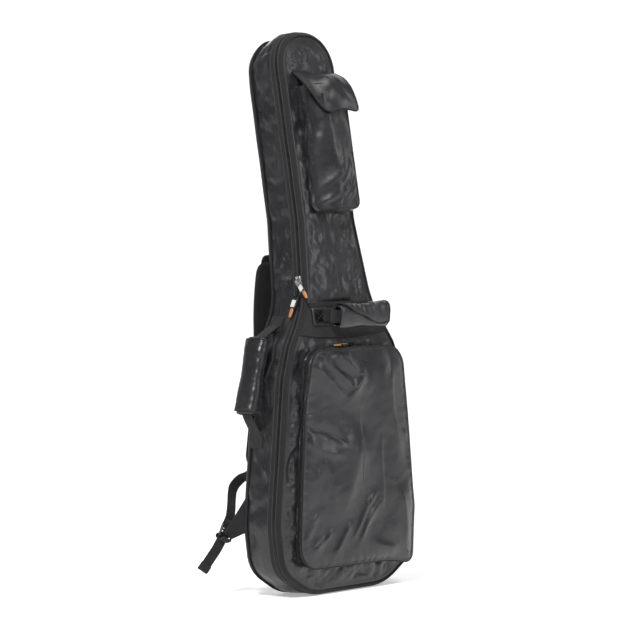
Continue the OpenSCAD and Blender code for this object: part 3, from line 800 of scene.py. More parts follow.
rings, inner = disc(OUT, OUT_N, [(1.0, SEAM_Y + 0.4), (0.2, SEAM_Y + 4), (1.4, SEAM_Y + 8),
    (4.5, REAR_Y - 1.2), (9, REAR_Y - 0.5), (14, REAR_Y - 0.2), (20, REAR_Y), (27, REAR_Y + 0.4),
    (35, REAR_Y + 1)], SPINE, 26, back_face, SEAM_Y + 1.2, EDGE_WAVE)
disc_piece("back_shell", rings, inner, "case", "nylon", stands_for=("back_panel", "back_foam"))
swept("back_piping_cord", ring_point(1.2, SEAM_Y), circle(2.0, 8), (0, 1, 0), "case", "tape", closed=True,
    stands_for=("back_piping",))


# ---- front ----
YOKE_LOW, YOKE_HIGH = up_z(480), up_z(541)


def front_face(x, z):
    d = edge_distance(x, z)
    rim = 1 - smoothstep(d, 34, 62)
    rough = crumple(x, z, 57, ((42, 2.4), (20, 1.3), (10, 0.6)), 1.2)
    rough = rough * (1 - 0.35 * rim) + rim * crumple(x, z, 61, ((19, 2.3), (10, 1.5), (6.5, 0.7)), 1.4, 0.3)
    rough = rough + 0.8 * puckers(z + 0.4 * x, np.clip((d - 6) / 40, 0, 1), 67, 26.0, 2.6)
    under_yoke = between(z, YOKE_LOW - 12, YOKE_LOW, YOKE_HIGH, YOKE_HIGH + 12)
    under_pocket = between(z, 56, 90, 430, 456) * (1 - smoothstep(np.abs(x - 8), 110, 128))
    calm = (1 - under_yoke) * (1 - under_pocket) * smoothstep(d, 10, 26)
    swell = 3.0 * smoothstep(d, 8, 50) * (1 - under_yoke)
    return FRONT_Y + 0.4 - swell + rough * calm


rings, inner = disc(OUT, OUT_N, [(1.2, LID_Y - 0.6), (1.4, LID_Y - 5), (2.6, LID_Y - 8.6),
    (5, FRONT_Y + 0.6), (9, FRONT_Y - 0.2), (12, 0), (15, 0), (18, 0), (21, 0), (24, 0), (27, 0), (30, 0),
    (33, 0), (36, 0), (39, 0), (42, 0), (45, 0), (49, 0), (53, 0)], SPINE, 24, front_face, LID_Y - 1.2,
    EDGE_WAVE)
for k in range(5, 19):
    rings[k][:, 1] = front_face(rings[k][:, 0], rings[k][:, 2])
disc_piece("front_shell", rings, inner, "lid", "nylon", stands_for=("front_panel", "front_foam"))


# ---- frames and small helpers for the pieces that are sewn on ----
def rot(axis, degrees):
    c, s = math.cos(math.radians(degrees)), math.sin(math.radians(degrees))
    return np.array({"x": [[1, 0, 0], [0, c, -s], [0, s, c]], "y": [[c, 0, s], [0, 1, 0], [-s, 0, c]],
        "z": [[c, -s, 0], [s, c, 0], [0, 0, 1]]}[axis])


def mover(matrix, shift, after=None):
    """A function that carries points by a rotation and a shift, and then by another function."""
    shift = np.asarray(shift, float)

    def carry(p):
        q = np.asarray(p, float) @ matrix.T + shift
        return after(q) if after else q

    return carry


def outline_half(z):
    """Half width of the bag's outline at a height."""
    k = OUT[:, 0] > 0
    side = OUT[k]
    order = np.argsort(side[:, 1])
    return np.interp(z, side[order, 1], side[order, 0])


def plate(name, outline, w0, w1, carry, body, material, edge=0.8, puff=0.0, steps=6, centre=None, **more):
    """A sewn patch or flat piece: outline in u, v, thick along w, with rounded edges. carry takes
    (u, v, w) to the bag."""
    outline = np.asarray(outline, float)
    n = normals_2d(outline)
    c = outline.mean(0) if centre is None else np.asarray(centre, float)
    rings = []
    for inset, w in ((edge, w0), (0.25 * edge, w0 + 0.3 * edge), (0, (w0 + w1) / 2),
        (0.25 * edge, w1 - 0.3 * edge), (edge, w1)):
        q = outline - n * inset
        rings.append(np.column_stack([q, np.full(len(q), w)]))
    last = rings[-1][:, :2]
    grown = (w1 > w0) * 2 - 1
    for k in range(1, steps + 1):
        t = k / steps
        q = last * (1 - t) + c * t
        rings.append(np.column_stack([q, np.full(len(q), w1 + grown * puff * math.sin(t * math.pi / 2))]))
    first = rings[0][:, :2]
    for k in range(steps, 0, -1):
        t = k / steps
        q = first * (1 - t) + c * t
        rings.append(np.column_stack([q, np.full(len(q), w0)]))
    pts = np.stack(rings, 0)
    verts = carry(pts.reshape(-1, 3))
    return make(name, verts, grid_faces(*pts.shape[:2], True, True), body, material,
        pts.reshape(-1, 3)[:, :2] * MM, merge=0.02, **more)


def box_stitch(name, width, height, carry, body, inset=4.0, lift=0.1):
    """A box of stitches with a cross in it, on a patch that lies in u, v."""
    w, h = width / 2 - inset, height / 2 - inset
    ring = resample(np.array([(-w, -h), (w, -h), (w, h), (-w, h)], float), 3.0)
    ring = np.vstack([ring, ring[:1]])
    lines = [ring, resample(np.array([(-w, -h), (w, h)], float), 3.0, False),
        resample(np.array([(-w, h), (w, -h)], float), 3.0, False)]
    lines = [carry(np.column_stack([l, np.full(len(l), lift)])) for l in lines]
    normal = heading(carry, 0, 0, 1)
    return stitches(name, lines, [normal] * 3, body)


def rounded_box(x0, z0, x1, z1, r, step=3.0):
    return resample(rounded([(x0, z0), (x1, z0), (x1, z1), (x0, z1)], [r] * 4), step)


def ribbon(name, path, axis, width, thick, body, material="webbing", step=3.0, **more):
    """Webbing along a path, its width along axis (one vector, or one for each point of the path)."""
    path = smooth_path(path, step)
    axis = np.asarray(axis, float)
    if axis.ndim == 2:
        k = np.linspace(0, len(axis) - 1, len(path))
        axis = at_run(k, np.arange(len(axis)), axis)
    t = unit(np.gradient(path, axis=0))
    return swept(name, path, flat_section(width, thick), np.cross(np.broadcast_to(axis, path.shape), t),
        body, material, **more)


# ---- inside of the case ----
QUILT_DEPTH, QUILT_PITCH = 1.3, 70.0


def quilted(x, z):
    """Grooves of diamond quilting."""
    a = np.abs(((x + z) / QUILT_PITCH) % 1 - 0.5) * QUILT_PITCH
    b = np.abs(((x - z) / QUILT_PITCH) % 1 - 0.5) * QUILT_PITCH
    return QUILT_DEPTH * (1 - np.exp(-np.minimum(a, b) / 5))


strip("wall_lining", np.stack([ring_point(-9.2, ZIP_Y + 0.6), ring_point(-9.3, SEAM_Y - 0.4)]
    + [ring_point(-10.0, y) for y in np.linspace(SEAM_Y - 0.6, ZIP_Y + 0.8, 9)], 1), "case", "lining",
    stands_for=("gusset_lining",))
rings, inner = disc(OUT, OUT_N, [(1.8, SEAM_Y + 1.1), (1.6, SEAM_Y + 0.6), (9.5, SEAM_Y + 0.2),
    (12, SEAM_Y)], SPINE, 30, lambda x, z: SEAM_Y - 0.2 + 1.2 - quilted(x, z), SEAM_Y + 1.1, EDGE_WAVE)
disc_piece("back_liner", rings, inner, "case", "lining", stands_for=("back_lining",))
rings, inner = disc(OUT, OUT_N, [(2.2, LID_Y - 1.1), (2.0, LID_Y - 0.5), (6, LID_Y - 0.1), (10, LID_Y)],
    SPINE, 30, lambda x, z: LID_Y + 0.1 - 1.2 + quilted(x, z), LID_Y - 1.1, EDGE_WAVE)
disc_piece("front_liner", rings, inner, "lid", "lining", stands_for=("front_lining",))

# the fabric hinge on the right edge
HINGE = np.where((OUT[:, 0] > 100) & (OUT[:, 1] > 156) & (OUT[:, 1] < 395))[0]
obj = edge_band("edge_hinge", HINGE, [(0.2, ZIP_Y + 14), (0.9, ZIP_Y + 13.4), (1.0, ZIP_Y + 7),
    (1.1, ZIP_Y), (1.0, LID_Y - 5), (0.2, LID_Y - 9.5), (-1.9, FRONT_Y + 0.4), (-2.6, FRONT_Y + 1.2),
    (-1.2, LID_Y - 8), (-0.6, LID_Y - 3), (-0.6, ZIP_Y), (-0.6, ZIP_Y + 8)], None, "tape",
    stands_for=("hinge_binding",))
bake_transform(obj)

# the neck cradle: padded, with a notch for the neck
arc = [(27 * math.sin(a), 27 * math.cos(a)) for a in np.linspace(math.radians(81), math.radians(-81), 19)]
cradle = resample(np.array([(-61, 33.6), (-61, 4.2)] + [(x, y) for x, y in arc[::-1]]
    + [(61, 4.2), (61, 33.6)]), 3.0)
cradle_n = normals_2d(cradle)
if ((cradle + cradle_n) ** 2).sum(1).mean() < (cradle**2).sum(1).mean():
    cradle_n = -cradle_n
rows = []
for s, inset in ((700.4, 6), (701, 3), (703, 1.1), (707, 0.2), (716, 0), (730, 0), (744, 0), (753, 0.2),
    (757, 1.1), (759, 3), (759.6, 6)):
    q = cradle - cradle_n * inset
    rows.append(np.column_stack([q[:, 0], q[:, 1], np.full(len(q), s)]))
obj = strip("cradle_pad", lean(np.array(rows)), "case", "padding", closed=False,
    stands_for=("neck_cradle",), merge=0.01)
seam = np.array([(x, 3.9, s) for s in (706, 754) for x in np.linspace(-58, -29, 12)])
stitches("cradle_stitches", [lean(seam[:12]), lean(seam[12:]), lean(seam[:12] * [-1, 1, 1]),
    lean(seam[12:] * [-1, 1, 1])], [(0, -1, 0.1)] * 4, "case")

guard = rounded_box(-36, -26, 36, 26, 9)
obj = plate("guard_pad", guard, BASE_Z + 10.2, BASE_Z + 15.4, lambda p: p, "case", "padding", 1.8, 0.5,
    stands_for=("end_guard",))
ring = rounded_box(-32, -22, 32, 22, 7)
stitches("guard_stitches", [np.column_stack([ring, np.full(len(ring), BASE_Z + 15.6)])], [(0, 0, 1)], "case")
obj = ribbon("neck_band",
    lean([(-56, 1.8, 730), (-30, 1.9, 730), (0, 1.5, 730), (30, 1.9, 730), (55, 1.8, 730)]),
    lean([(0, 0, 731)])[0] - lean([(0, 0, 730)])[0], 37, 2.2, "neck_strap", "padding",
    stands_for=("neck_strap",))
tip = mover(np.eye(3), (40, 0.3, 730), lean)
plate("neck_band_patch", rounded_box(-13, -15, 13, 15, 2), 0, 1.2,
    lambda p: tip(p[:, [0, 2, 1]] * [1, -1, 1] + [0, 0.2, 0]), "neck_strap", "hook_loop", 0.3)


# ---- handles ----
def cushion(c, s):
    """Radius of a rounded square in a direction."""
    return (np.abs(c) ** 3.0 + np.abs(s) ** 3.0) ** (-1 / 3.0)


def grip(name, half, thick, wide, carry, body, stands_for, seed, flap_from, flap_to, cut):
    """A padded wrap round the webbing: a soft tube with open sleeve ends, and an overlapping flap with a
    bound edge. Its length is along u, it faces -v, and w is its width."""
    us = np.linspace(-half, half, 46)
    angles = np.linspace(0, 2 * math.pi, 40, endpoint=False)
    rows = []
    for u in us:
        t = u / half
        pinch = 1 - 0.10 * math.cos(t * math.pi / 2) ** 2 - 0.05 * (abs(t) > 0.93)
        ca, sa = np.cos(angles), np.sin(angles)
        r = cushion(ca, sa)
        bump = crumple(angles * 12 + 40, np.full_like(angles, u), seed, ((26, 0.9), (11, 0.5)),
            1.3) + 0.5 * np.sin(u / 9 + 2 * sa)
        v = sa * r * thick / 2 * pinch + sa * bump * 0.6
        w = ca * r * wide / 2 * pinch + ca * bump * 0.6
        rows.append(np.column_stack([np.full_like(v, u), v, w]))
    rows = np.array(rows)
    mouth = ((1.4, 0.9), (-4, 0.82), (-12, 0.76))
    first = [rows[0] * [0, k, k] - [half + du, 0, 0] for du, k in mouth]
    last = [rows[-1] * [0, k, k] + [half + du, 0, 0] for du, k in mouth]
    pts = np.array([*first[::-1], *rows, *last])
    obj = strip(name + "_wrap", carry(pts), body, "nylon_soft", closed=False, stands_for=stands_for)
    arcs = np.linspace(0, 1, 26)
    outer, inner_ = [], []
    for u in us[1:-1]:
        t = u / half
        a0 = math.radians(flap_from) + 0.10 * math.sin(2.2 * t)
        a1 = math.radians(flap_to + cut * ((1 - t) / 2) ** 2.2) + 0.10 * math.cos(5.2 * t + 0.4)
        an = a0 + (a1 - a0) * arcs
        ca, sa = np.cos(an), np.sin(an)
        r = cushion(ca, sa)
        pinch = 1 - 0.10 * math.cos(t * math.pi / 2) ** 2
        bump = crumple(an * 14, np.full_like(an, u), seed + 9, ((24, 2.2), (11, 1.6), (6, 0.6)), 1.3)
        bump = (bump + 1.2 * puckers(np.full_like(an, u), arcs[::-1], seed + 5, 15.0,
            2.4)) * np.sin(np.pi * np.clip(arcs * 0.97 + 0.02, 0, 1)) ** 0.4
        lift = 1.5 + 0.9 * arcs**6
        for store, add in ((outer, lift + 0.7 + 0.6 * bump), (inner_, lift - 0.5 + 0.6 * bump)):
            v = sa * (r * thick / 2 * pinch + add)
            w = ca * (r * wide / 2 * pinch + add)
            store.append(np.column_stack([np.full_like(v, u), v, w]))
    sheet_pts = np.concatenate([np.array(outer), np.array(inner_)[:, ::-1]], 1)
    strip(name + "_flap", carry(sheet_pts), body, "nylon", closed=False, merge=0.01)
    outer, inner_ = np.array(outer), np.array(inner_)
    mid = (outer + inner_) / 2
    rim = np.vstack([mid[0][:-1], mid[:, -1][:-1], mid[-1][::-1][:-1], mid[:, 0][::-1][:-1]])
    rim = carry(resample(rim, 3.0))
    centre = spot(carry, 0, 0, 0)
    swept(name + "_flap_binding", rim, circle(1.7, 8, 0.8), rim - centre, body, "tape", closed=True)
    return obj


def handle(name, span, length, reach, thick, wide, carry, patch_ends, body, nodes, seed, flap):
    """Webbing between two patches, through a grip. carry takes handle space (u, v, w) to the bag."""
    near = length / 2 + 2
    inner_path = [(-near + 8, -reach, 0), (0, -reach, 0), (near - 8, -reach, 0)]
    axis = heading(carry, 0, 0, 1.0)
    ribbon(name + "_core", carry(np.array(inner_path, float)), axis, 25, 2, body, stands_for=(nodes[0],))
    grip(name, length / 2, thick, wide, mover(np.eye(3), (0, -reach, 0), carry), body, (nodes[1],), seed,
        *flap)
    for tag, sign, patch in (("low", -1, patch_ends[0]), ("top", 1, patch_ends[1])):
        pts = [patch, spot(carry, sign * (span / 2 - 4), -6.5, 0),
            spot(carry, sign * (span / 2 - 12), -16, 0),
               spot(carry, sign * (near + 3), -reach + 7, 0), spot(carry, sign * (near - 12), -reach, 0)]
        part = ribbon(f"{name}_{tag}_web", pts, axis, 24.6, 2, None)
        a = spot(carry, sign * (span / 2 - 2), -5.0, 0) * MM
        b = spot(carry, sign * (near + 2), -reach + 8, 0) * MM
        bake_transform(part)


SIDE_Y, PIVOT = 15.0, 12.2


def edge_at(i, z):
    (x0, z0, _), (x1, z1, _) = CORNERS[i + 1], CORNERS[i + 2]
    return x0 + (x1 - x0) * (z - z0) / (z1 - z0)


def edge_angle(i):
    (x0, z0, _), (x1, z1, _) = CORNERS[i + 1], CORNERS[i + 2]
    return math.degrees(math.atan2(x0 - x1, z1 - z0))


low_point = np.array([-edge_at(2, 295), 295.0])
high_point = np.array([-edge_at(4, up_z(506)), up_z(506)])
side_span = float(np.linalg.norm(high_point - low_point))
side_tilt = math.degrees(math.atan2(high_point[0] - low_point[0], high_point[1] - low_point[1]))


def on_left_wall(x, y, z, tilt):
    return mover(rot("y", tilt) @ rot("z", -90) @ rot("y", -90), (x, y, z))


side_mid = (low_point + high_point) / 2
side_frame = on_left_wall(side_mid[0], SIDE_Y, side_mid[1], side_tilt)
low_frame = on_left_wall(low_point[0] - 4.6, SIDE_Y, low_point[1], edge_angle(2))
high_frame = on_left_wall(high_point[0] - 3.6, SIDE_Y + 2, high_point[1] - 1, edge_angle(4))
for tag, frame_fn, node in (("low", low_frame, "side_handle_low_anchor"),
    ("top", high_frame, "side_handle_top_anchor")):
    flat = patch_on(frame_fn)
    plate(f"side_patch_{tag}", rounded_box(-17, -15, 17, 15, 2.5), -2.5, 2.0, flat, "case", "webbing", 0.9,
        0.3, stands_for=(node,))
    box_stitch(f"side_patch_{tag}_stitches", 34, 30, flat, "case", 4, 2.4)
handle("side_handle", side_span, 142, 46, 24, 42, side_frame,
       (spot(low_frame, 4, 0.3, 0), spot(high_frame, -4, 0.3, 0)),
       "side_handle", ("side_handle_webbing", "side_handle_grip"), 71, (-212, -34, -14))

front_base = mover(np.eye(3), (13, FRONT_Y - 1, 512), lean)
droop = mover(rot("x", 14), np.array([0, -PIVOT, 0]) - rot("x", 14) @ np.array([0, -PIVOT, 0]), front_base)
for tag, sign, node in (("left", -1, "front_handle_left_anchor"), ("right", 1, "front_handle_right_anchor")):
    flat = patch_on(front_base, sign * 77, -0.8)
    plate(f"front_patch_{tag}", rounded_box(-21, -17.5, 21, 17.5, 3), -0.6, 2.0, flat, "lid", "gloss_patch",
        0.9, 0.6, stands_for=(node,))
    box_stitch(f"front_patch_{tag}_stitches", 42, 35, flat, "lid", 5, 2.6)
    ridge = rounded_box(-18, -14.5, 18, 14.5, 2.5)
    ridge = flat(np.column_stack([np.vstack([ridge, ridge[:1]]), np.full(len(ridge) + 1, 2.1)]))
    swept(f"front_patch_{tag}_ridge", ridge, circle(0.7, 6), (0, -1, 0.15), "lid", "edge_cord")
handle("front_handle", 144, 136, 38, 24, 46, droop,
       (spot(front_base, -68, -0.9, 0), spot(front_base, 68, -0.9, 0)),
       "front_handle", ("front_handle_webbing", "front_handle_grip"), 83, (130, -122, 112))


# ---- shoulder straps ----
PAD_LENGTH, PAD_HALF, PAD_ROUND = 385, 31, 22
PAD_PATH = [(66, 0), (66, 60), (66, 130), (68, 190), (75, 240), (82, 290), (85, 340), (84, PAD_LENGTH)]


def strap_side(side, sign):
    body, buckle = side + "_strap", side + "_buckle"
    mirror = np.array([sign, 1, 1])

    def pad_frame(tilt):
        f = mover(rot("y", tilt), (-128, 0, 238))
        return lambda p: f(p) * mirror

    pad, web = pad_frame(10), pad_frame(30)
    path = smooth_path([(y, s) for y, s in PAD_PATH], 5.0)
    t = unit(np.gradient(path, axis=0))
    out = np.stack([t[:, 1], -t[:, 0]], 1)
    rows = []
    n = 32
    a = np.linspace(0, 2 * math.pi, n, endpoint=False)
    for k, (y, s) in enumerate(path):
        end = min(s, PAD_LENGTH - s)
        half = PAD_HALF
        if end <= PAD_ROUND:
            half += math.sqrt(max(PAD_ROUND**2 - (PAD_ROUND - max(end, 0)) ** 2, 1)) - PAD_ROUND
        thick = 6.2 * min(1.0, 0.45 + 0.55 * math.sqrt(min(max(end, 0), 12) / 12))
        ca, sa = np.cos(a), np.sin(a)
        x = half * squared(ca, 0.55)
        groove = 1.5 * np.exp(-((np.abs(x) - (half - 8)) / 2.4) ** 2)
        h = thick * squared(sa, 0.62) - np.sign(sa) * groove * (np.abs(sa) > 0.2)
        h = h + crumple(x + 100 * sign, np.full_like(x, s), 91, ((30, 0.8), (14, 0.4)), 1.4) * np.abs(sa)
        rows.append(np.column_stack([x, y + out[k, 0] * h, s + out[k, 1] * h]))
    rows = np.array(rows)
    obj = strip(side + "_pad", pad(rows), body, "strap_pad", closed=False,
        stands_for=(side + "_shoulder_pad",))
    rim = np.vstack([rows[:, 0], rows[::-1, n // 2]])
    rim = pad(resample(rim, 4.0))
    axis_out = heading(pad, 0, 1.0, 0)
    swept(side + "_pad_binding", rim, circle(2.0, 8), axis_out, body, "tape", closed=True)
    # the root, sewn under the yoke on the back
    axis = heading(pad, 1.0, 0, 0) * sign
    tip = spot(pad, 0, 84, 372)
    top = lean([(-44 * sign, REAR_Y + 2.6, 652)])[0]
    seat = lean([(-47 * sign, REAR_Y + 3.4, 632)])[0]
    root = ribbon(side + "_strap_root", [spot(pad, 0, 85, 345), tip, (tip + seat) / 2 + [0, 7, 8], seat,
        top], axis, 46, 3, None, "strap_pad")
    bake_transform(root)
    # webbing down to the ladder lock
    waxis = heading(web, 1.0, 0, 0) * sign
    pts = [spot(pad, 0, 66, 26), spot(pad, 0, 66, 6)]
    pts += [spot(web, 0, y, s) for y, s in ((75, -13.5), (95, -24), (106.5, -42), (103.5, -60), (94.5, -84),
        (88.5, -104), (88.2, -113), (88.6, -121), (86.5, -127.6), (82.6, -128.2), (81.8, -121.5),
        (85.4, -112))]
    axes = [axis * 0.6 + waxis * 0.4, axis * 0.4 + waxis * 0.6] + [waxis] * 12
    obj = ribbon(side + "_web", pts, axes, 25, 2, body, step=2.5, stands_for=(side + "_strap_webbing",))
    lock = lambda p: web(p[:, [0, 2, 1]] + [0, 84, -134])
    frame_bars(side + "_lock", lock, buckle, side)
    tail = [spot(web, 0, y, s) for y, s in ((88.4, -128.4), (81.2, -129.0), (80.4, -134), (82.0, -138.8),
        (88.6, -140.2), (90.0, -150), (93.5, -168), (101, -189), (108, -209), (110.6, -214))]
    obj = ribbon(side + "_tail", tail, waxis, 25, 1.8, buckle, step=2.5, stands_for=(side + "_strap_tail",))
    tail_length = float(np.linalg.norm(np.diff(smooth_path(tail), axis=0), axis=1).sum())
    hem = [spot(web, 0, y, s) for y, s in ((106.4, -200), (109.6, -208.6), (111.6, -213.4), (110.2, -215.4),
        (107.6, -213.6), (103.6, -202))]
    ribbon(side + "_tail_hem", hem, waxis, 25.4, 1.6, buckle, step=2.0)
    line = [web(np.array([[x, 107.0, -202.2] for x in np.linspace(-10, 10, 8)]))]
    stitches(side + "_tail_stitches", line, [(0, 1, -0.6)], buckle)
    # the loop that holds the lock, and its three-cornered tab, sewn into the back seam
    loop = [spot(web, 0, y, s) for y, s in ((74, -141.2), (79, -140.4), (88, -141.0), (94.4, -142.0),
        (96.6, -146), (93, -150.4), (84, -151), (76, -147))]
    ribbon(side + "_loop", loop, waxis, 24, 1.6, "case", step=2.0)
    a0, b0 = np.array([-184.5, SEAM_Y + 3, 194]) * mirror, np.array([-184.5, SEAM_Y + 3, 124]) * mirror
    a1, b1 = web(np.array([[-12.5, 77, -141.5], [12.5, 77, -141.5]]))
    rows = []
    for k in range(15):
        u = k / 14
        p, q = a0 + (a1 - a0) * u, b0 + (b1 - b0) * u
        across_ = (q - p) / np.linalg.norm(q - p)
        ahead = (a1 + b1 - a0 - b0) / np.linalg.norm(a1 + b1 - a0 - b0)
        normal = np.cross(across_, ahead)
        normal /= np.linalg.norm(normal)
        v = np.linspace(0, 1, 12)
        face = p + (q - p) * v[:, None]
        wave = 0.8 * np.sin(v * 7 + u * 4)[:, None] * math.sin(math.pi * u)
        rows.append(np.vstack([face + normal * (1.2 + wave), (face + normal * (wave - 1.2))[::-1]]))
    rows = np.array(rows)
    strip(side + "_tab", rows, "case", "panel_weave", closed=False, stands_for=(side + "_strap_tab",))
    edge = [rows[2:-1, 1], rows[2:-1, 10]]
    nn = np.cross(rows[7, 11] - rows[7, 0], rows[10, 5] - rows[5, 5])
    stitches(side + "_tab_stitches", edge, [nn, nn], "case")


def frame_bars(name, carry, body, side):
    """A moulded ladder lock: a rounded frame with a bar across it, slightly bowed and ribbed."""
    verts, faces = [], []

    def bar(p, q, across_, r0, r1):
        p, q, across_ = (np.array(v, float) for v in (p, q, across_))
        rows = []
        for k in range(9):
            u = k / 8
            c = p + (q - p) * u
            e = 0.75 + 0.25 * math.sin(math.pi * u)
            ring = [c + across_ * (r0 * math.cos(a)) + np.array([0, 0, 1]) * (r1 * e * math.sin(a))
                for a in np.linspace(0, 2 * math.pi, 10, endpoint=False)]
            rows.append(ring)
        add_tube(verts, faces, rows)

    for v, r in ((11, 2.0), (0, 1.9), (-11, 2.0)):
        bar((-16, v, 0), (16, v, 0), (0, 1, 0), r, 2.5)
    for u in (-16, 16):
        bar((u, -12.6, 0), (u, 12.6, 0), (1, 0, 0), 2.0, 2.5)
    for u in (-8, -3, 2, 7):
        bar((u, -1.4, 1.4), (u + 1.6, 1.4, 1.6), (1, 0, 0), 0.5, 0.6)
    make(name, carry(np.array(verts)), faces, body, "acetal", stands_for=(side + "_ladder_lock",))


strap_side("left", 1)
strap_side("right", -1)

yoke = rounded_box(-64, 575, 64, 662, 8, 4.0)


def yoke_carry(p):
    y = REAR_Y + 1.9 + p[:, 2] + 0.8 * creased_noise(p[:, 0] / 22, p[:, 1] / 26, 4)
    return lean(np.column_stack([p[:, 0], y, p[:, 1]]))


plate("back_yoke", yoke, -1.5, 2.0, yoke_carry, "case", "panel_weave", 1.2, 0.3, 12,
    stands_for=("strap_yoke",))
ring = rounded_box(-60, 579, 60, 658, 6, 3.0)
stitches("back_yoke_stitches", [yoke_carry(np.column_stack([ring, np.full(len(ring), 2.2)]))],
    [(0, 1, -0.1)], "case")

# ---- yoke on the front ----
rows = []
for v in np.linspace(0, 1, 18):
    us = np.linspace(-1, 1, 60)
    low = YOKE_LOW + 4 - 9 * (1 - us**2)
    z = low + (YOKE_HIGH - low) * v
    x = us * (outline_half(z) - 6.5)
    y = FRONT_Y - 1.0 + 1.2 * crumple(x, z, 131, ((44, 0.6), (20, 0.35)))
    if v in (0.0, 1.0):
        y = y + 1.0
    rows.append(np.column_stack([x, y, z]))
rows = np.array(rows)
low_side = rows + [0, 2.0, 0]
yoke_pts = np.concatenate([rows, low_side[::-1]], 0)
obj = make("front_yoke", fold(yoke_pts.reshape(-1, 3)), grid_faces(36, 60, True, False), "lid",
    "panel_weave", yoke_pts.reshape(-1, 3)[:, [0, 2]] * MM, stands_for=("waist_yoke",))
for tag, r in (("low", 1), ("high", 16)):
    stitches(f"front_yoke_{tag}_stitches", [fold(rows[r] + [0, -0.5, 0])], [(0, -1, 0.1)], "lid")
top_edge = fold(rows[-1] + [0, -1.2, 0])
swept("front_yoke_binding", top_edge, flat_section(9, 1.8), (0, -1, 0.1), "lid", "tape")

# ---- front pocket ----
POCKET_X = 8.0
POCKET_ZIP_Y = mm_box("pocket_gusset")[0][1]
POCKET_FRONT_Y = mm_box("pocket_lid_gusset")[0][1]
POCKET_LOW, POCKET_HIGH = mm_box("pocket_gusset")[0][2], mm_box("pocket_gusset")[1][2]


def pocket_outline(count):
    """The pocket's closed outline, with as many points up the right side as down the left. Its lower
    right corner is sharp, and drawn in under the stuffed side."""
    low, middle, high = 159.0, 155.0, 128.0
    halves = []
    for side, foot, radii in ((1, 145.0, (16, 70, 44)), (-1, low, (42, 0, 32))):
        ring = [(0, POCKET_LOW), (foot * side, POCKET_LOW)]
        if side > 0:
            ring.append((middle * side, POCKET_LOW + 96))
        ring += [(high * side, POCKET_HIGH), (0, POCKET_HIGH)]
        bends = [r for r in radii if r]
        line = [ring[0]]
        for i, r in enumerate(bends):
            line += fillet(ring[i], ring[i + 1], ring[i + 2], r)
        line = np.array(line + [ring[-1]]) + [POCKET_X, 0]
        run = run_of(line)
        t = np.linspace(0, run[-1], count + 1)
        halves.append(at_run(t, run, line))
    return np.vstack([halves[0], halves[1][-2:0:-1]])


PK = pocket_outline(190)
PK_N = normals_2d(PK)
PK_RUN = run_of(PK)
PK_PAIR = -np.arange(len(PK)) % len(PK)
PK_SPINE = np.clip(PK[:, 1], POCKET_LOW + 130, POCKET_HIGH - 110)
PK_SPINE = np.stack([np.full(len(PK), POCKET_X), (PK_SPINE + PK_SPINE[PK_PAIR]) / 2], 1)
# the pocket's rim is not quite even
PK_WAVE = wavy(PK_RUN, 21, 1.6)


def pocket_sag(x, z):
    """How far the stuffed pocket's front half is drawn down, in z."""
    corner = smoothstep(x, POCKET_X + 60, POCKET_X + 150) * (1 - smoothstep(z, POCKET_LOW, POCKET_LOW + 60))
    return -(2.0 + 3.0 * smoothstep(x, POCKET_X + 20, POCKET_X + 150)) * (1 - smoothstep(z, POCKET_LOW + 20,
        POCKET_LOW + 260)) - 9.0 * corner


def flattened(p):
    """Lays the pocket's lower left side closer to the bag than its stuffed right side."""
    p = np.array(p, float)
    left = (1 - smoothstep(p[:, 0], POCKET_X - 130, POCKET_X + 30)) * (1 - smoothstep(p[:, 2], 340, 440))
    p[:, 1] = FRONT_Y + (p[:, 1] - FRONT_Y) * (1 - 0.42 * left)
    return p


def sagging(p, y, sag):
    """Places (x, z) on the pocket at depth y, drawn down by a share of its sag."""
    z = p[:, 1] + sag * pocket_sag(p[:, 0], p[:, 1])
    return np.column_stack([p[:, 0], np.broadcast_to(np.asarray(y, float), z.shape), z])


def pocket_ring(out, y, sag):
    return flattened(sagging(PK + PK_N * (out + PK_WAVE)[:, None], y, sag))


# where the pocket's right edge works as its hinge, its walls stay inside the line they turn on
HINGE_SIDE = smoothstep(PK[:, 0], 100, 118) * smoothstep(PK[:, 1], POCKET_LOW, POCKET_LOW + 14)
HINGE_SIDE = HINGE_SIDE * (1 - smoothstep(PK[:, 1], POCKET_HIGH - 22, POCKET_HIGH - 6))


def pocket_wall(name, y0, y1, body, seed, sag0, sag1, stands_for):
    ts = np.linspace(0, 1, 11)
    outer = []
    for t in ts:
        y = y0 + (y1 - y0) * t
        rough = crumple(PK_RUN, y * 1.5, seed, ((30, 1.7), (14, 1.2), (8, 0.5)), 1.6)
        mid = math.sin(math.pi * t)
        out = 0.2 + 2.4 * mid + rough * (0.25 + 0.75 * mid)
        near_zip = 1 - smoothstep(abs(y - POCKET_ZIP_Y), 3.0, 9.0)
        out = out - HINGE_SIDE * near_zip * (out + 1.4)
        outer.append(pocket_ring(out, y, sag0 + (sag1 - sag0) * t))
    inner = [pocket_ring(-2.0, y1, sag1), pocket_ring(-2.0, y0, sag0)]
    return strip(name, np.stack(outer + inner, 1), body, "nylon", stands_for=stands_for)


pocket_wall("pocket_wall", FRONT_Y + 1.2, POCKET_ZIP_Y + 1.2, "lid", 151, 0.0, 0.3, ("pocket_gusset",))
pocket_wall("pocket_lid_wall", POCKET_ZIP_Y - 1.6, POCKET_FRONT_Y, "pocket_lid", 157, 0.3, 0.7,
    ("pocket_lid_gusset",))


def pocket_zip_run():
    hinge = (PK[:, 0] > 90) & (PK[:, 1] > POCKET_LOW + 12) & (PK[:, 1] < POCKET_HIGH - 20)
    first = np.where(hinge)[0][-1] + 1
    return (np.arange(len(PK) - int(hinge.sum())) + first) % len(PK), np.where(hinge)[0]


PK_ZIP, PK_HINGE = pocket_zip_run()


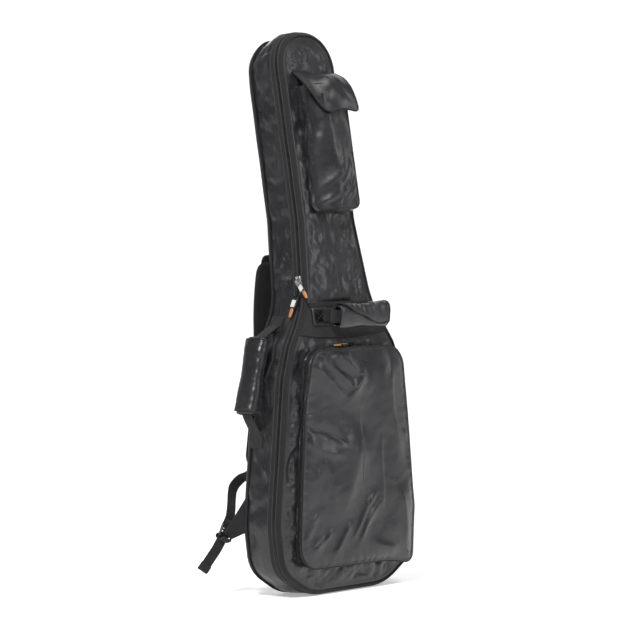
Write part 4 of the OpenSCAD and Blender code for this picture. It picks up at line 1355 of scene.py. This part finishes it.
def pocket_band(name, index, section, body, material, sag=0.3, **more):
    pts = np.stack([pocket_ring(o, y, sag)[index] for o, y in section], 1)
    return strip(name, pts, body, material, closed=False, **more)


y = POCKET_ZIP_Y
pocket_band("pocket_tape", PK_ZIP, [(0.6, y + 0.1), (1.8, y + 0.6), (2.2, y + 3), (1.8, y + 11),
    (1.0, y + 12.4), (-0.6, y + 12), (-1.0, y + 5), (-0.8, y + 0.1)], "lid", "tape",
    stands_for=("pocket_zip_tape",))
y = POCKET_ZIP_Y - 0.4
pocket_band("pocket_lid_tape", PK_ZIP, [(0.6, y - 0.1), (1.8, y - 0.6), (2.2, y - 3), (2.0, y - 10),
    (1.0, y - 12.2), (-0.6, y - 12), (-1.0, y - 5), (-0.8, y - 0.1)], "pocket_lid", "tape", 0.35,
    stands_for=("pocket_lid_zip_tape",))
mid_y = POCKET_ZIP_Y - 0.2
hinge = pocket_band("pocket_edge_hinge", PK_HINGE,
    [(0.8, mid_y + 8), (1.6, mid_y + 4), (1.8, mid_y), (1.6, mid_y - 4), (0.8, mid_y - 8),
    (-0.4, mid_y - 6), (-0.6, mid_y), (-0.4, mid_y + 6)], None, "tape")
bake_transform(hinge)


def pocket_teeth(name, body, side):
    line = pocket_ring(1.9, mid_y, 0.3)[PK_ZIP]
    run = run_of(line)
    at = np.arange(2, run[-1] - 2, 2.0) + (1.0 if side > 0 else 0)
    c = at_run(at, run, line)
    t = unit(np.gradient(c, axis=0))
    n = np.cross(t, (0, 1, 0))
    n *= np.sign((n * (c - [POCKET_X, mid_y, 256])).sum(1))[:, None]
    verts, faces = hooks(c, n, t, POCKET_TOOTH, 0.4, side)
    make(name, verts, faces, body, "teeth", smooth=False)


pocket_teeth("pocket_coil", "lid", 1)
pocket_teeth("pocket_lid_coil", "pocket_lid", -1)


def fold_line(x, z, start, end, width, height, steep=1.0):
    """A ridge between two places, which fades at its ends. steep above 1 makes the side on the right of
    its direction steeper, like the lip of a fold that has slipped."""
    d = np.array([end[0] - start[0], end[1] - start[1]], float)
    length = np.linalg.norm(d)
    d /= length
    u = ((x - start[0]) * d[0] + (z - start[1]) * d[1]) / length
    v = -(x - start[0]) * d[1] + (z - start[1]) * d[0] + 0.05 * length * np.sin(u * 4 + start[0])
    w = np.where(v > 0, width, width / steep)
    fade = between(u, -0.12, 0.25, 0.7, 1.12)
    return height * np.exp(0.3 - np.sqrt((v / w) ** 2 + 0.09)) * fade


# Folds of the pocket's panel: start, end, width, height, steepness; from the pocket's middle and the floor
POCKET_FOLDS = [
    ((-134, 452), (-14, 386), 10, 6.0, 2.0),
    ((-84, 450), (2, 410), 9, 5.0, 2.0),
    ((-112, 452), (-28, 396), 7, -3.5, 1.0),
    ((-134, 426), (-40, 372), 11, 5.0, 1.8),
    ((4, 420), (-38, 350), 16, 4.5, 3.0),
    ((-142, 318), (-44, 282), 9, -6.0, 2.0),
    ((-138, 292), (-56, 254), 13, 5.0, 2.2),
    ((8, 290), (-76, 140), 24, 7.0, 0.35),
    ((-104, 262), (-72, 150), 12, 4.0, 2.0),
    ((-120, 236), (-96, 176), 9, 3.5, 1.5),
    ((64, 288), (44, 150), 4, 2.2, 1.6),
    ((38, 184), (-34, 104), 6, 3.4, 2.0),
    ((50, 172), (-16, 92), 7, 3.0, 2.0),
    ((-112, 152), (-156, 106), 5, 4.0, 2.2),
    ((-78, 124), (-128, 84), 7, 4.0, 2.0),
    ((-30, 130), (-84, 72), 8, 3.0, 1.6),
    ((134, 300), (146, 250), 6, 3.0, 1.5),
    ((104, 190), (132, 84), 12, 3.0, 1.6),
    ((88, 440), (104, 250), 14, 3.0, 1.4),
    ((96, 70), (24, 96), 7, 2.6, 1.4),
]


def pocket_face(x, z):
    d = edge_distance(x, z, PK)
    swell = 8.0 * (1 - np.exp(-d / 24.0)) - 1.5 * smoothstep(d, 60, 130)
    u, v = x - POCKET_X, z
    soft = 2.6 * 2 * smooth_noise(u / 105 + 0.3, v / 120 + 0.7, 201) + 1.0 * 2 * smooth_noise(u / 48,
        v / 60, 205)
    folds = sum(fold_line(u, v, *values) for values in POCKET_FOLDS)
    run = np.where(np.abs(u) > 110, v, u)
    near = np.clip(d / 44, 0, 1)
    gathers = 1.1 * puckers(run + 0.35 * d, near, 203, 21.0, 2.6) + 0.9 * puckers(run - 0.5 * d, near, 207,
        12.0, 1.6)
    gathers = gathers * np.where(u > 40, 0.45, 1.0) * np.where(v > 430, 0.5, 1.0)
    left = 1 - smoothstep(u, -120, 10)
    crinkle = crumple(x, z, 211, ((34, 1.2), (16, 0.8), (9, 0.3)), 1.3, 0.6) * (0.25 + 0.75 * left)
    edge = smoothstep(d, 0, 14)
    return POCKET_FRONT_Y - 1.2 - (swell + (soft * 1.5 + folds * 1.5 + crinkle * 1.4) * edge
        - gathers * smoothstep(d, 0, 4))


edge = [(0.8, POCKET_FRONT_Y + 1.0), (-1.2, POCKET_FRONT_Y + 0.2), (-1.8, POCKET_FRONT_Y - 1.0),
    (-0.8, POCKET_FRONT_Y - 2.2), (1.2, POCKET_FRONT_Y - 2.0)]
rings = []
for inset, yy in edge:
    p = PK + PK_N * (PK_WAVE - inset)[:, None]
    rings.append(sagging(p, yy, 0.75))
for inset in (3, 6, 10, 15, 21, 28):
    p = PK + PK_N * (PK_WAVE - inset)[:, None]
    rings.append(sagging(p, pocket_face(*p.T), 0.8))
last = PK + PK_N * (PK_WAVE - 28)[:, None]
for k in range(1, 29):
    p = last + (PK_SPINE - last) * k / 28
    rings.append(sagging(p, pocket_face(*p.T), 0.8))
inner = []
for k in range(6, -1, -1):
    p = (PK + PK_N * (PK_WAVE - 1.6)[:, None]) * (1 - k / 6) + PK_SPINE * k / 6
    inner.append(sagging(p, POCKET_FRONT_Y + 1.0 - 3.5 * (k > 0), 0.75))
panel = disc_piece("pocket_panel_soft", rings, inner, "pocket_lid", "nylon_soft", place=flattened,
    stands_for=("pocket_panel",))
cordline = pocket_ring(2.0, POCKET_FRONT_Y - 0.6, 0.75)
swept("pocket_piping", cordline, circle(1.7, 8), (0, 1, 0), "pocket_lid", "tape", closed=True)

# ---- pocket on the neck ----
HX, H_LOW, H_HIGH, H_HALF = 4.0, 712.0, 946.0, 48.0
H_ROUND, H_DEPTH = 15, 36.0
H_FRONT = FRONT_Y - H_DEPTH
neck = mover(np.eye(3), (HX, 0, 0), lean)
path = [(-H_HALF, H_HIGH)] + fillet((-H_HALF, H_HIGH), (-H_HALF, H_LOW), (H_HALF, H_LOW), H_ROUND,
    2.5) + fillet((-H_HALF, H_LOW), (H_HALF, H_LOW), (H_HALF, H_HIGH), H_ROUND, 2.5) + [(H_HALF, H_HIGH)]
U = resample(np.array(path), 3.5, closed=False)
U_N = normals_2d(U, closed=False)
U_RUN = run_of(U)


def laid(x, y, s):
    """The depth of a point on the neck pocket, whose left edge lies closer to the bag."""
    least = 0.36 + 0.24 * smoothstep(s, 790, 930)
    return FRONT_Y + 1.0 + (y - FRONT_Y - 1.0) * (least + (1 - least) * smoothstep(x, -H_HALF - 1, -4))


def neck_ring(out, y, sag):
    """The rim of the neck's pocket at a distance out from its outline and at depth y."""
    p = U + U_N * out
    return np.column_stack([p[:, 0], laid(p[:, 0], y, p[:, 1]), p[:, 1] - sag])


pts = []
for t in np.linspace(0, 1, 15):
    y = FRONT_Y + 1.5 + (H_FRONT - 1.0 - FRONT_Y - 1.5) * t
    mid = math.sin(math.pi * t)
    rough = crumple(U_RUN, y, 231, ((30, 2.4), (15, 1.5), (8, 0.6)), 1.2)
    low = 1 - smoothstep(U[:, 1], H_LOW, H_LOW + 60)
    o = -0.2 + (1.5 + 2.0 * low) * mid + rough * (0.2 + 0.8 * mid)
    pts.append(neck_ring(o[:, None], y, 3.0 * t * low))
pts += [neck_ring(-2.2, H_FRONT + 0.5, 0), neck_ring(-2.2, FRONT_Y + 1.0, 0)]
pts = np.stack(pts, 1)
strip("neck_pocket_wall", neck(pts), "lid", "nylon", closed=False, stands_for=("head_pocket_gusset",))


NECK_FOLDS = [
    ((-48, 930), (-22, 880), 7, 4.5, 1.8),
    ((-24, 905), (-14, 868), 6, 3.5, 1.8),
    ((-44, 880), (-30, 850), 6, -3.0, 1.0),
    ((-26, 880), (-30, 750), 12, 4.0, 1.3),
    ((10, 850), (2, 760), 12, 2.5, 1.2),
    ((-40, 740), (14, 792), 7, 4.5, 2.0),
    ((-44, 726), (22, 752), 6, 4.5, 2.0),
    ((0, 732), (40, 804), 7, 4.0, 1.8),
    ((18, 724), (46, 780), 6, 3.5, 1.8),
    ((-20, 720), (0, 750), 5, -3.5, 1.0),
]


def neck_face(x, s):
    d = np.minimum(H_HALF - np.abs(x), s - H_LOW)
    d = np.clip(d, 0, None)
    top = smoothstep(s, H_HIGH - 90, H_HIGH - 10)
    swell = 6.5 * (1 - np.exp(-d / 15.0)) * (1 - 0.55 * top)
    rough = crumple(x, s, 241, ((38, 1.5), (18, 0.9), (9, 0.35)), 1.2)
    folds = sum(fold_line(x, s, *values) for values in NECK_FOLDS)
    return laid(x, H_FRONT - 1.6 - swell - (rough + 1.3 * folds) * smoothstep(d, 0, 12), s)


xs, ss = np.linspace(-1, 1, 36), np.concatenate([np.linspace(H_LOW - 1, H_LOW + 20, 9),
    np.linspace(H_LOW + 26, H_HIGH, 36)])
rows = []
for s in ss:
    below = max(H_ROUND - (s - H_LOW), 0)
    cut = H_ROUND - math.sqrt(max(H_ROUND**2 - below**2, 0)) if s < H_LOW + H_ROUND else 0
    x = xs * (H_HALF + 0.6 - min(cut, 14))
    low = 1 - smoothstep(s, H_LOW, H_LOW + 60)
    rows.append(np.column_stack([x, neck_face(x, np.full_like(x, s)), np.full_like(x, s - 3.0 * low)]))
rows = np.array(rows)
ends = rows.copy()
ends[..., 1] = laid(rows[..., 0], H_FRONT + 0.4, rows[..., 2])
pts = np.concatenate([rows, ends[:, ::-1]], 1)
panel = strip("neck_pocket_front", neck(pts), "lid", "nylon", closed=False, stands_for=("head_pocket_front",))
hem = []
for s, add in ((H_HIGH - 17, 0.2), (H_HIGH - 15, 1.0), (H_HIGH - 8, 1.2), (H_HIGH + 0.5, 1.2),
    (H_HIGH + 2, 0.2), (H_HIGH + 1.4, -1.4), (H_HIGH - 3, -1.4)):
    x = xs * (H_HALF + 1.2)
    hem.append(np.column_stack([x, neck_face(x, np.full_like(x, min(s, H_HIGH))) - add, np.full_like(x, s)]))
hem = np.stack(hem, 1)
strip("neck_pocket_hem", neck(hem), "lid", "tape", closed=False)
line = U - U_N * 0.5
seam = neck(neck_ring(-0.5, H_FRONT - 1.6, 2.5 * (1 - smoothstep(line[:, 1], H_LOW, H_LOW + 60))))
swept("neck_pocket_piping", seam, circle(1.6, 8), (0, -1, 0.2), "lid", "tape")
loop_y = lambda p: neck(np.column_stack([p[:, 0], neck_face(p[:, 0], p[:, 1]) - p[:, 2], p[:, 1]]))
plate("loop_patch", rounded_box(-25, 905, 25, 930, 2), 0.0, 1.6, loop_y, "lid", "hook_loop", 0.4,
    stands_for=("pocket_loop_patch",))

# the flap: a bound sheet from its seam over the pocket's mouth
FLAP_S = H_HIGH + 28
FLAP_SKEW = 11.0  # its lower edge hangs a little to the right
FLAP_LEFT_ROUND, FLAP_RIGHT_ROUND = 46, 9
FLAP = smooth_path([(-1.6, 5), (-2.4, 0), (-13, -2), (-25, -5.5), (-37, -12), (-44.5, -23), (-48, -39),
    (-48.6, -58), (-48.4, -77)], 3.0)
FLAP_LEFT = smooth_path([(-1.6, 5), (-2.4, 0), (-9, -8), (-18, -19), (-28, -33), (-37, -48), (-43, -62),
    (-46.5, -76), (-48, -90)], 3.0)
F_RUN = run_of(FLAP)
L_RUN = run_of(FLAP_LEFT)
F_LEN = F_RUN[-1]
ft = unit(np.gradient(FLAP, axis=0))
fn = np.stack([ft[:, 1], -ft[:, 0]], 1)


def flap_point(x, r):
    """A place on the flap from its distances across and along, and the direction out from it."""
    share = smoothstep(-x, -6, 46)
    y = np.interp(r, F_RUN, FLAP[:, 0]) * (1 - share) + np.interp(r, L_RUN, FLAP_LEFT[:, 0]) * share
    z = np.interp(r, F_RUN, FLAP[:, 1]) * (1 - share) + np.interp(r, L_RUN, FLAP_LEFT[:, 1]) * share
    ny, nz = np.interp(r, F_RUN, fn[:, 0]), np.interp(r, F_RUN, fn[:, 1])
    free = smoothstep(r, 8, 30)
    wave = 2.8 * smooth_noise(x / 30, r / 34, 251) + crumple(x, r, 257, ((30, 1.0), (14, 0.6)))
    right = smoothstep(x, 16, 50)
    low = smoothstep(r, F_LEN - 60, F_LEN)
    drop = -5.0 * right * free * smoothstep(r, 5, 60)
    lift = wave * free * 0.9 + 6.0 * right * low
    skew = FLAP_SKEW * smoothstep(r, 15, F_LEN + 10)
    p = np.column_stack([x + skew, FRONT_Y + y + ny * lift, FLAP_S + z + nz * lift + drop])
    return p, np.column_stack([0 * x, ny, nz])


def flap_side(r, corner):
    """Half the flap's width at a distance along it, with a round lower corner."""
    short = max(corner - (F_LEN - r), 0)
    return 50.0 - corner + math.sqrt(max(corner**2 - short**2, 0))


rows, rim = [], []
round_from = F_LEN - FLAP_LEFT_ROUND
for r in (*np.linspace(0, round_from, 24),
    *(round_from + FLAP_LEFT_ROUND * np.sin(np.linspace(0.08, math.pi / 2, 20)))):
    x = np.linspace(-flap_side(r, FLAP_LEFT_ROUND), flap_side(r, FLAP_RIGHT_ROUND), 34)
    p, n = flap_point(x, np.full_like(x, r))
    rows.append(np.vstack([p + n * 1.1, (p - n * 1.1)[::-1]]))
    rim.append((p[0], p[-1]))
    last_row = p
rows = np.array(rows)
flap = strip("neck_flap", neck(rows), "head_flap", "nylon", closed=False, stands_for=("head_pocket_flap",))
loop = np.vstack([[r[0] for r in rim], last_row[1:-1], [r[1] for r in rim[::-1]]])
loop = resample(loop, 3.0, closed=False)
swept("neck_flap_binding", neck(loop), circle(1.9, 8),
    neck(loop) - neck(np.array([[0, FRONT_Y - 20, FLAP_S - 60]])), "head_flap", "tape")
seam = np.array([(x, FRONT_Y - 3.2, FLAP_S + 1.5) for x in np.linspace(-48, 48, 30)])
swept("neck_flap_seam", neck(seam), flat_section(7, 1.6), (0, -1, 0.15), "lid", "tape")
hook_y = patch_on(neck, 0, FRONT_Y - 46.6, 1)
plate("hook_patch", rounded_box(-25, 905, 25, 930, 2), 0.0, 1.8, hook_y, "head_flap", "hook_loop", 0.4,
    stands_for=("flap_hook_patch",))

# ---- zips: sliders, links and tags ----


def detail_slider(name, node, body, material, frame_fn):
    """A slider: a rounded waisted body with flanges, and a bridge over it."""
    outline = np.array([(-4.2, -8), (4.2, -8), (5.2, -5.5), (4.6, -1), (5.5, 5), (4.8, 7.4), (2.4, 8),
        (0, 6.4), (-2.4, 8), (-4.8, 7.4), (-5.5, 5), (-4.6, -1), (-5.2, -5.5)])
    outline = resample(outline, 1.0)
    plate(name, outline, 0.2, 3.0, patch_on(frame_fn), body, material, 0.7, 0.3, 3, centre=(0, 0),
        stands_for=(node,))
    path = smooth_path([(0, -2.6, -5.2), (0, -5.4, -5.0), (0, -8.0, -3.6), (0, -8.5, 0.6), (0, -8.0, 4.8),
        (0, -5.4, 6.0), (0, -2.6, 6.2)], 0.6)
    section = flat_section(2.6, 1.2)
    world = frame_fn(path)
    side = heading(frame_fn, 1.0, 0, 0)
    tw = unit(np.gradient(world, axis=0))
    swept(name + "_bridge", world, section, np.cross(np.broadcast_to(side, world.shape), tw), body, material)
    rail = [np.array([(s * 4.6, -0.4, z) for z in np.linspace(-6.5, 6, 6)]) for s in (-1, 1)]
    for k, line in enumerate(rail):
        swept(f"{name}_rail{k}", frame_fn(line), circle(0.55, 6), heading(frame_fn, 0, -1.0, 0), body,
            material)


def detail_link(name, node, body, material, frame_fn):
    """A cast link: a rounded frame with an upper and a lower hole."""
    verts, faces = [], []

    def rod(points, r, flat=0.75):
        path = smooth_path(points, 0.8)
        t = unit(np.gradient(path, axis=0))
        up_ = np.array([0, 1.0, 0])
        side = np.cross(t, up_)
        turns = np.linspace(0, 2 * math.pi, 10, endpoint=False)
        add_tube(verts, faces,
            [[c + s * (r * math.cos(a)) + up_ * (flat * math.sin(a)) for a in turns]
            for c, s in zip(path, side)])

    y = -5.2
    rod([(-5.4, y, 2.2), (0, y, 2.35), (5.4, y, 2.2)], 0.55, 0.7)
    for s in (-1, 1):
        rod([(s * 5.2, y, 2.3), (s * 6.0, y, 1.0), (s * 5.9, y, -5), (s * 5.5, y, -10), (s * 5.4, y, -15),
            (s * 4.6, y, -17.3)], 1.15, 0.7)
    rod([(-5.6, y, -8.6), (0, y, -8.9), (5.6, y, -8.6)], 1.7, 0.7)
    rod([(-5.0, y, -16.9), (0, y, -17.2), (5.0, y, -16.9)], 1.3, 0.7)
    make(name, frame_fn(np.array(verts)), faces, body, material, stands_for=(node,))


def detail_tag(name, node, body, frame_fn):
    """A moulded grip on the link with a plain light panel on each face, and a stiff twisted end below it."""
    y, top, low, tip = -5.2, -12.2, -31.6, -49.8
    rows = []
    angles = np.linspace(0, 2 * math.pi, 20, endpoint=False)
    ca, sa = np.cos(angles), np.sin(angles)
    for z in np.concatenate([top - 2.6 + 2.6 * np.sin(np.linspace(math.pi / 2, 0, 6)),
        np.linspace(top - 5, low + 5, 8), low + 2.6 - 2.6 * np.sin(np.linspace(0, math.pi / 2, 6))]):
        end = min(top - z, z - low)
        half = 5.9 - 2.6 + math.sqrt(max(2.6**2 - max(2.6 - end, 0) ** 2, 0))
        thick = 2.1 * (0.5 + 0.5 * min(1, math.sqrt(max(end, 0.05) / 1.2)))
        rows.append(np.column_stack([half * squared(ca, 0.5), y + thick * squared(sa, 0.5), np.full(20, z)]))
    rows = np.array(rows)
    strip(name, frame_fn(rows), body, "pull_black", closed=False, stands_for=(node,))
    for tag, side in (("front", -1), ("back", 1)):
        panel = rounded_box(-4.7, low + 2.8, 4.7, top - 3.0, 1.2, 1.0)
        carry = patch_on(frame_fn, 0, y + 2.0 * side, side)
        plate(f"{name}_panel_{tag}", panel, 0.0, 0.5, carry, body, "pull_white", 0.3, 0.05, 3)
    turns, count = 1.7, 40
    strands = []
    for phase in (0, math.pi):
        strand = []
        for k in range(count):
            u = k / (count - 1)
            spread = 2.3 * math.sqrt(max(1 - u**6, 0)) * (0.75 + 0.25 * min(1, 6 * u))
            a = phase + 2 * math.pi * turns * u
            strand.append((spread * math.cos(a), y + 0.8 * spread * math.sin(a) / 2.3,
                low + 1.5 + (tip - low + 0.5) * u))
        strands.append(strand)
    path = smooth_path(strands[0] + strands[1][::-1][1:], 0.8)
    swept(name + "_twist", frame_fn(path), circle(1.65, 10, 0.85), heading(frame_fn, 0, -1.0, 0), body,
        "tag_rubber")


def left_zip_frame(x, z, tilt, out):
    y = ZIP_Y + (z - (BEND_Z - ZIP_Y * math.tan(LEAN / 2))) * math.tan(LEAN)
    m = rot("y", tilt) @ rot("x",
        -math.degrees(math.atan(math.cos(math.radians(tilt)) * math.tan(LEAN)))) @ rot("z", -90)
    shift = np.array([x, y, z]) + m @ np.array([0, -out, 0])
    return mover(m, shift)


def hung(swing, lift, after):
    """Carries a pull that hangs from its slider, swung sideways and lifted by some degrees."""
    m = rot("y", -swing)
    pivot = np.array([0, -5.2, 2.25])
    tip = rot("x", -lift)
    return mover(m @ tip, m @ (pivot - tip @ pivot), after)


tilt6, tilt5 = edge_angle(5), edge_angle(4)
upper_z = up_z(587)
upper_frame = left_zip_frame(-edge_at(5, upper_z), upper_z, tilt6, 3.5)
turn_angle = math.radians(tilt5 - tilt6)
u6 = np.array([-math.sin(math.radians(tilt6)), math.cos(math.radians(tilt6))])
SHOULDER_X, SHOULDER_Z, SHOULDER_ROUND = CORNERS[6]
arc_top = np.array([SHOULDER_X, SHOULDER_Z]) + u6 * SHOULDER_ROUND * math.tan(turn_angle / 2)
arc_centre = arc_top + SHOULDER_ROUND * np.array([math.cos(math.radians(tilt6)),
    math.sin(math.radians(tilt6))])
lt = math.radians(tilt6 + 5.4)
lower_at = arc_centre - SHOULDER_ROUND * np.array([math.cos(lt), math.sin(lt)])
lower_frame = left_zip_frame(-lower_at[0], lower_at[1], tilt6 + 5.4, 4.1)
pocket_m = rot("y", 90) @ rot("z", -90)
pocket_frame = mover(pocket_m, (6, POCKET_ZIP_Y, POCKET_HIGH + 2.7))
for tag, frame_fn, material, swing, lift in (("upper", upper_frame, "bright_metal", 37, 10),
    ("lower", lower_frame, "black_metal", -13, 10), ("pocket", pocket_frame, "black_metal", 0, 0)):
    detail_slider(tag + "_slider_body", tag + "_slider", tag + "_zip_slider", material, frame_fn)
    pull = hung(swing, lift, frame_fn)
    detail_link(tag + "_link", tag + "_pull_link", tag + "_pull",
        "link_metal" if tag == "upper" else "link_black", pull)
    detail_tag(tag + "_tag", tag + "_pull_tag", tag + "_pull", pull)

# ---- floor and light ----
floor_mesh = bpy.data.meshes.new("floor")
xs = np.linspace(-8, 8, 24)
profile = [(-6.0, 0.0), (3.0, 0.0)] + [(3.0 + 2.0 * math.sin(a), 2.0 - 2.0 * math.cos(a))
    for a in np.linspace(0.1, math.pi / 2, 10)] + [(5.0, 8.0)]
verts = [(u, v, w) for v, w in profile for u in xs]
floor_mesh.from_pydata(verts, [], grid_faces(len(profile), 24))
floor_mesh.polygons.foreach_set("use_smooth", [True] * len(floor_mesh.polygons))
floor = bpy.data.objects.new("floor", floor_mesh)
scene.collection.objects.link(floor)
floor.rotation_euler = (0, 0, math.radians(AZIMUTH))
m = Nodes("floor_white")
m.bsdf.inputs["Base Color"].default_value = (0.88, 0.88, 0.88, 1)
set_shader(m.bsdf, 0.75, 0.25)
m.bsdf.inputs["Emission Color"].default_value = (1, 1, 1, 1)
m.bsdf.inputs["Emission Strength"].default_value = 0.34
floor_mesh.materials.append(m.mat)

world = bpy.data.worlds.new("world")
scene.world = world
world.use_nodes = True
world.node_tree.nodes["Background"].inputs[0].default_value = (1, 1, 1, 1)
world.node_tree.nodes["Background"].inputs[1].default_value = 0.26


def softbox(name, position, size, power):
    data = bpy.data.lights.new(name, "AREA")
    data.shape = "RECTANGLE"
    data.size, data.size_y = size
    data.energy = power
    obj = bpy.data.objects.new(name, data)
    scene.collection.objects.link(obj)
    obj.location = position
    direction = Vector((0, 0, 0.5)) - Vector(position)
    obj.rotation_euler = direction.to_track_quat("-Z", "Y").to_euler()
    return obj


softbox("key", (-2.9, -1.5, 3.3), (0.7, 1.0), 210)
softbox("fill", (2.2, -3.7, 1.9), (0.6, 2.2), 34)
softbox("top", (0.4, -1.6, 3.6), (1.6, 1.6), 45)
softbox("rim", (1.6, 2.6, 2.2), (1.2, 1.8), 10)
scene.view_settings.view_transform = "Standard"
scene.view_settings.look = "None"
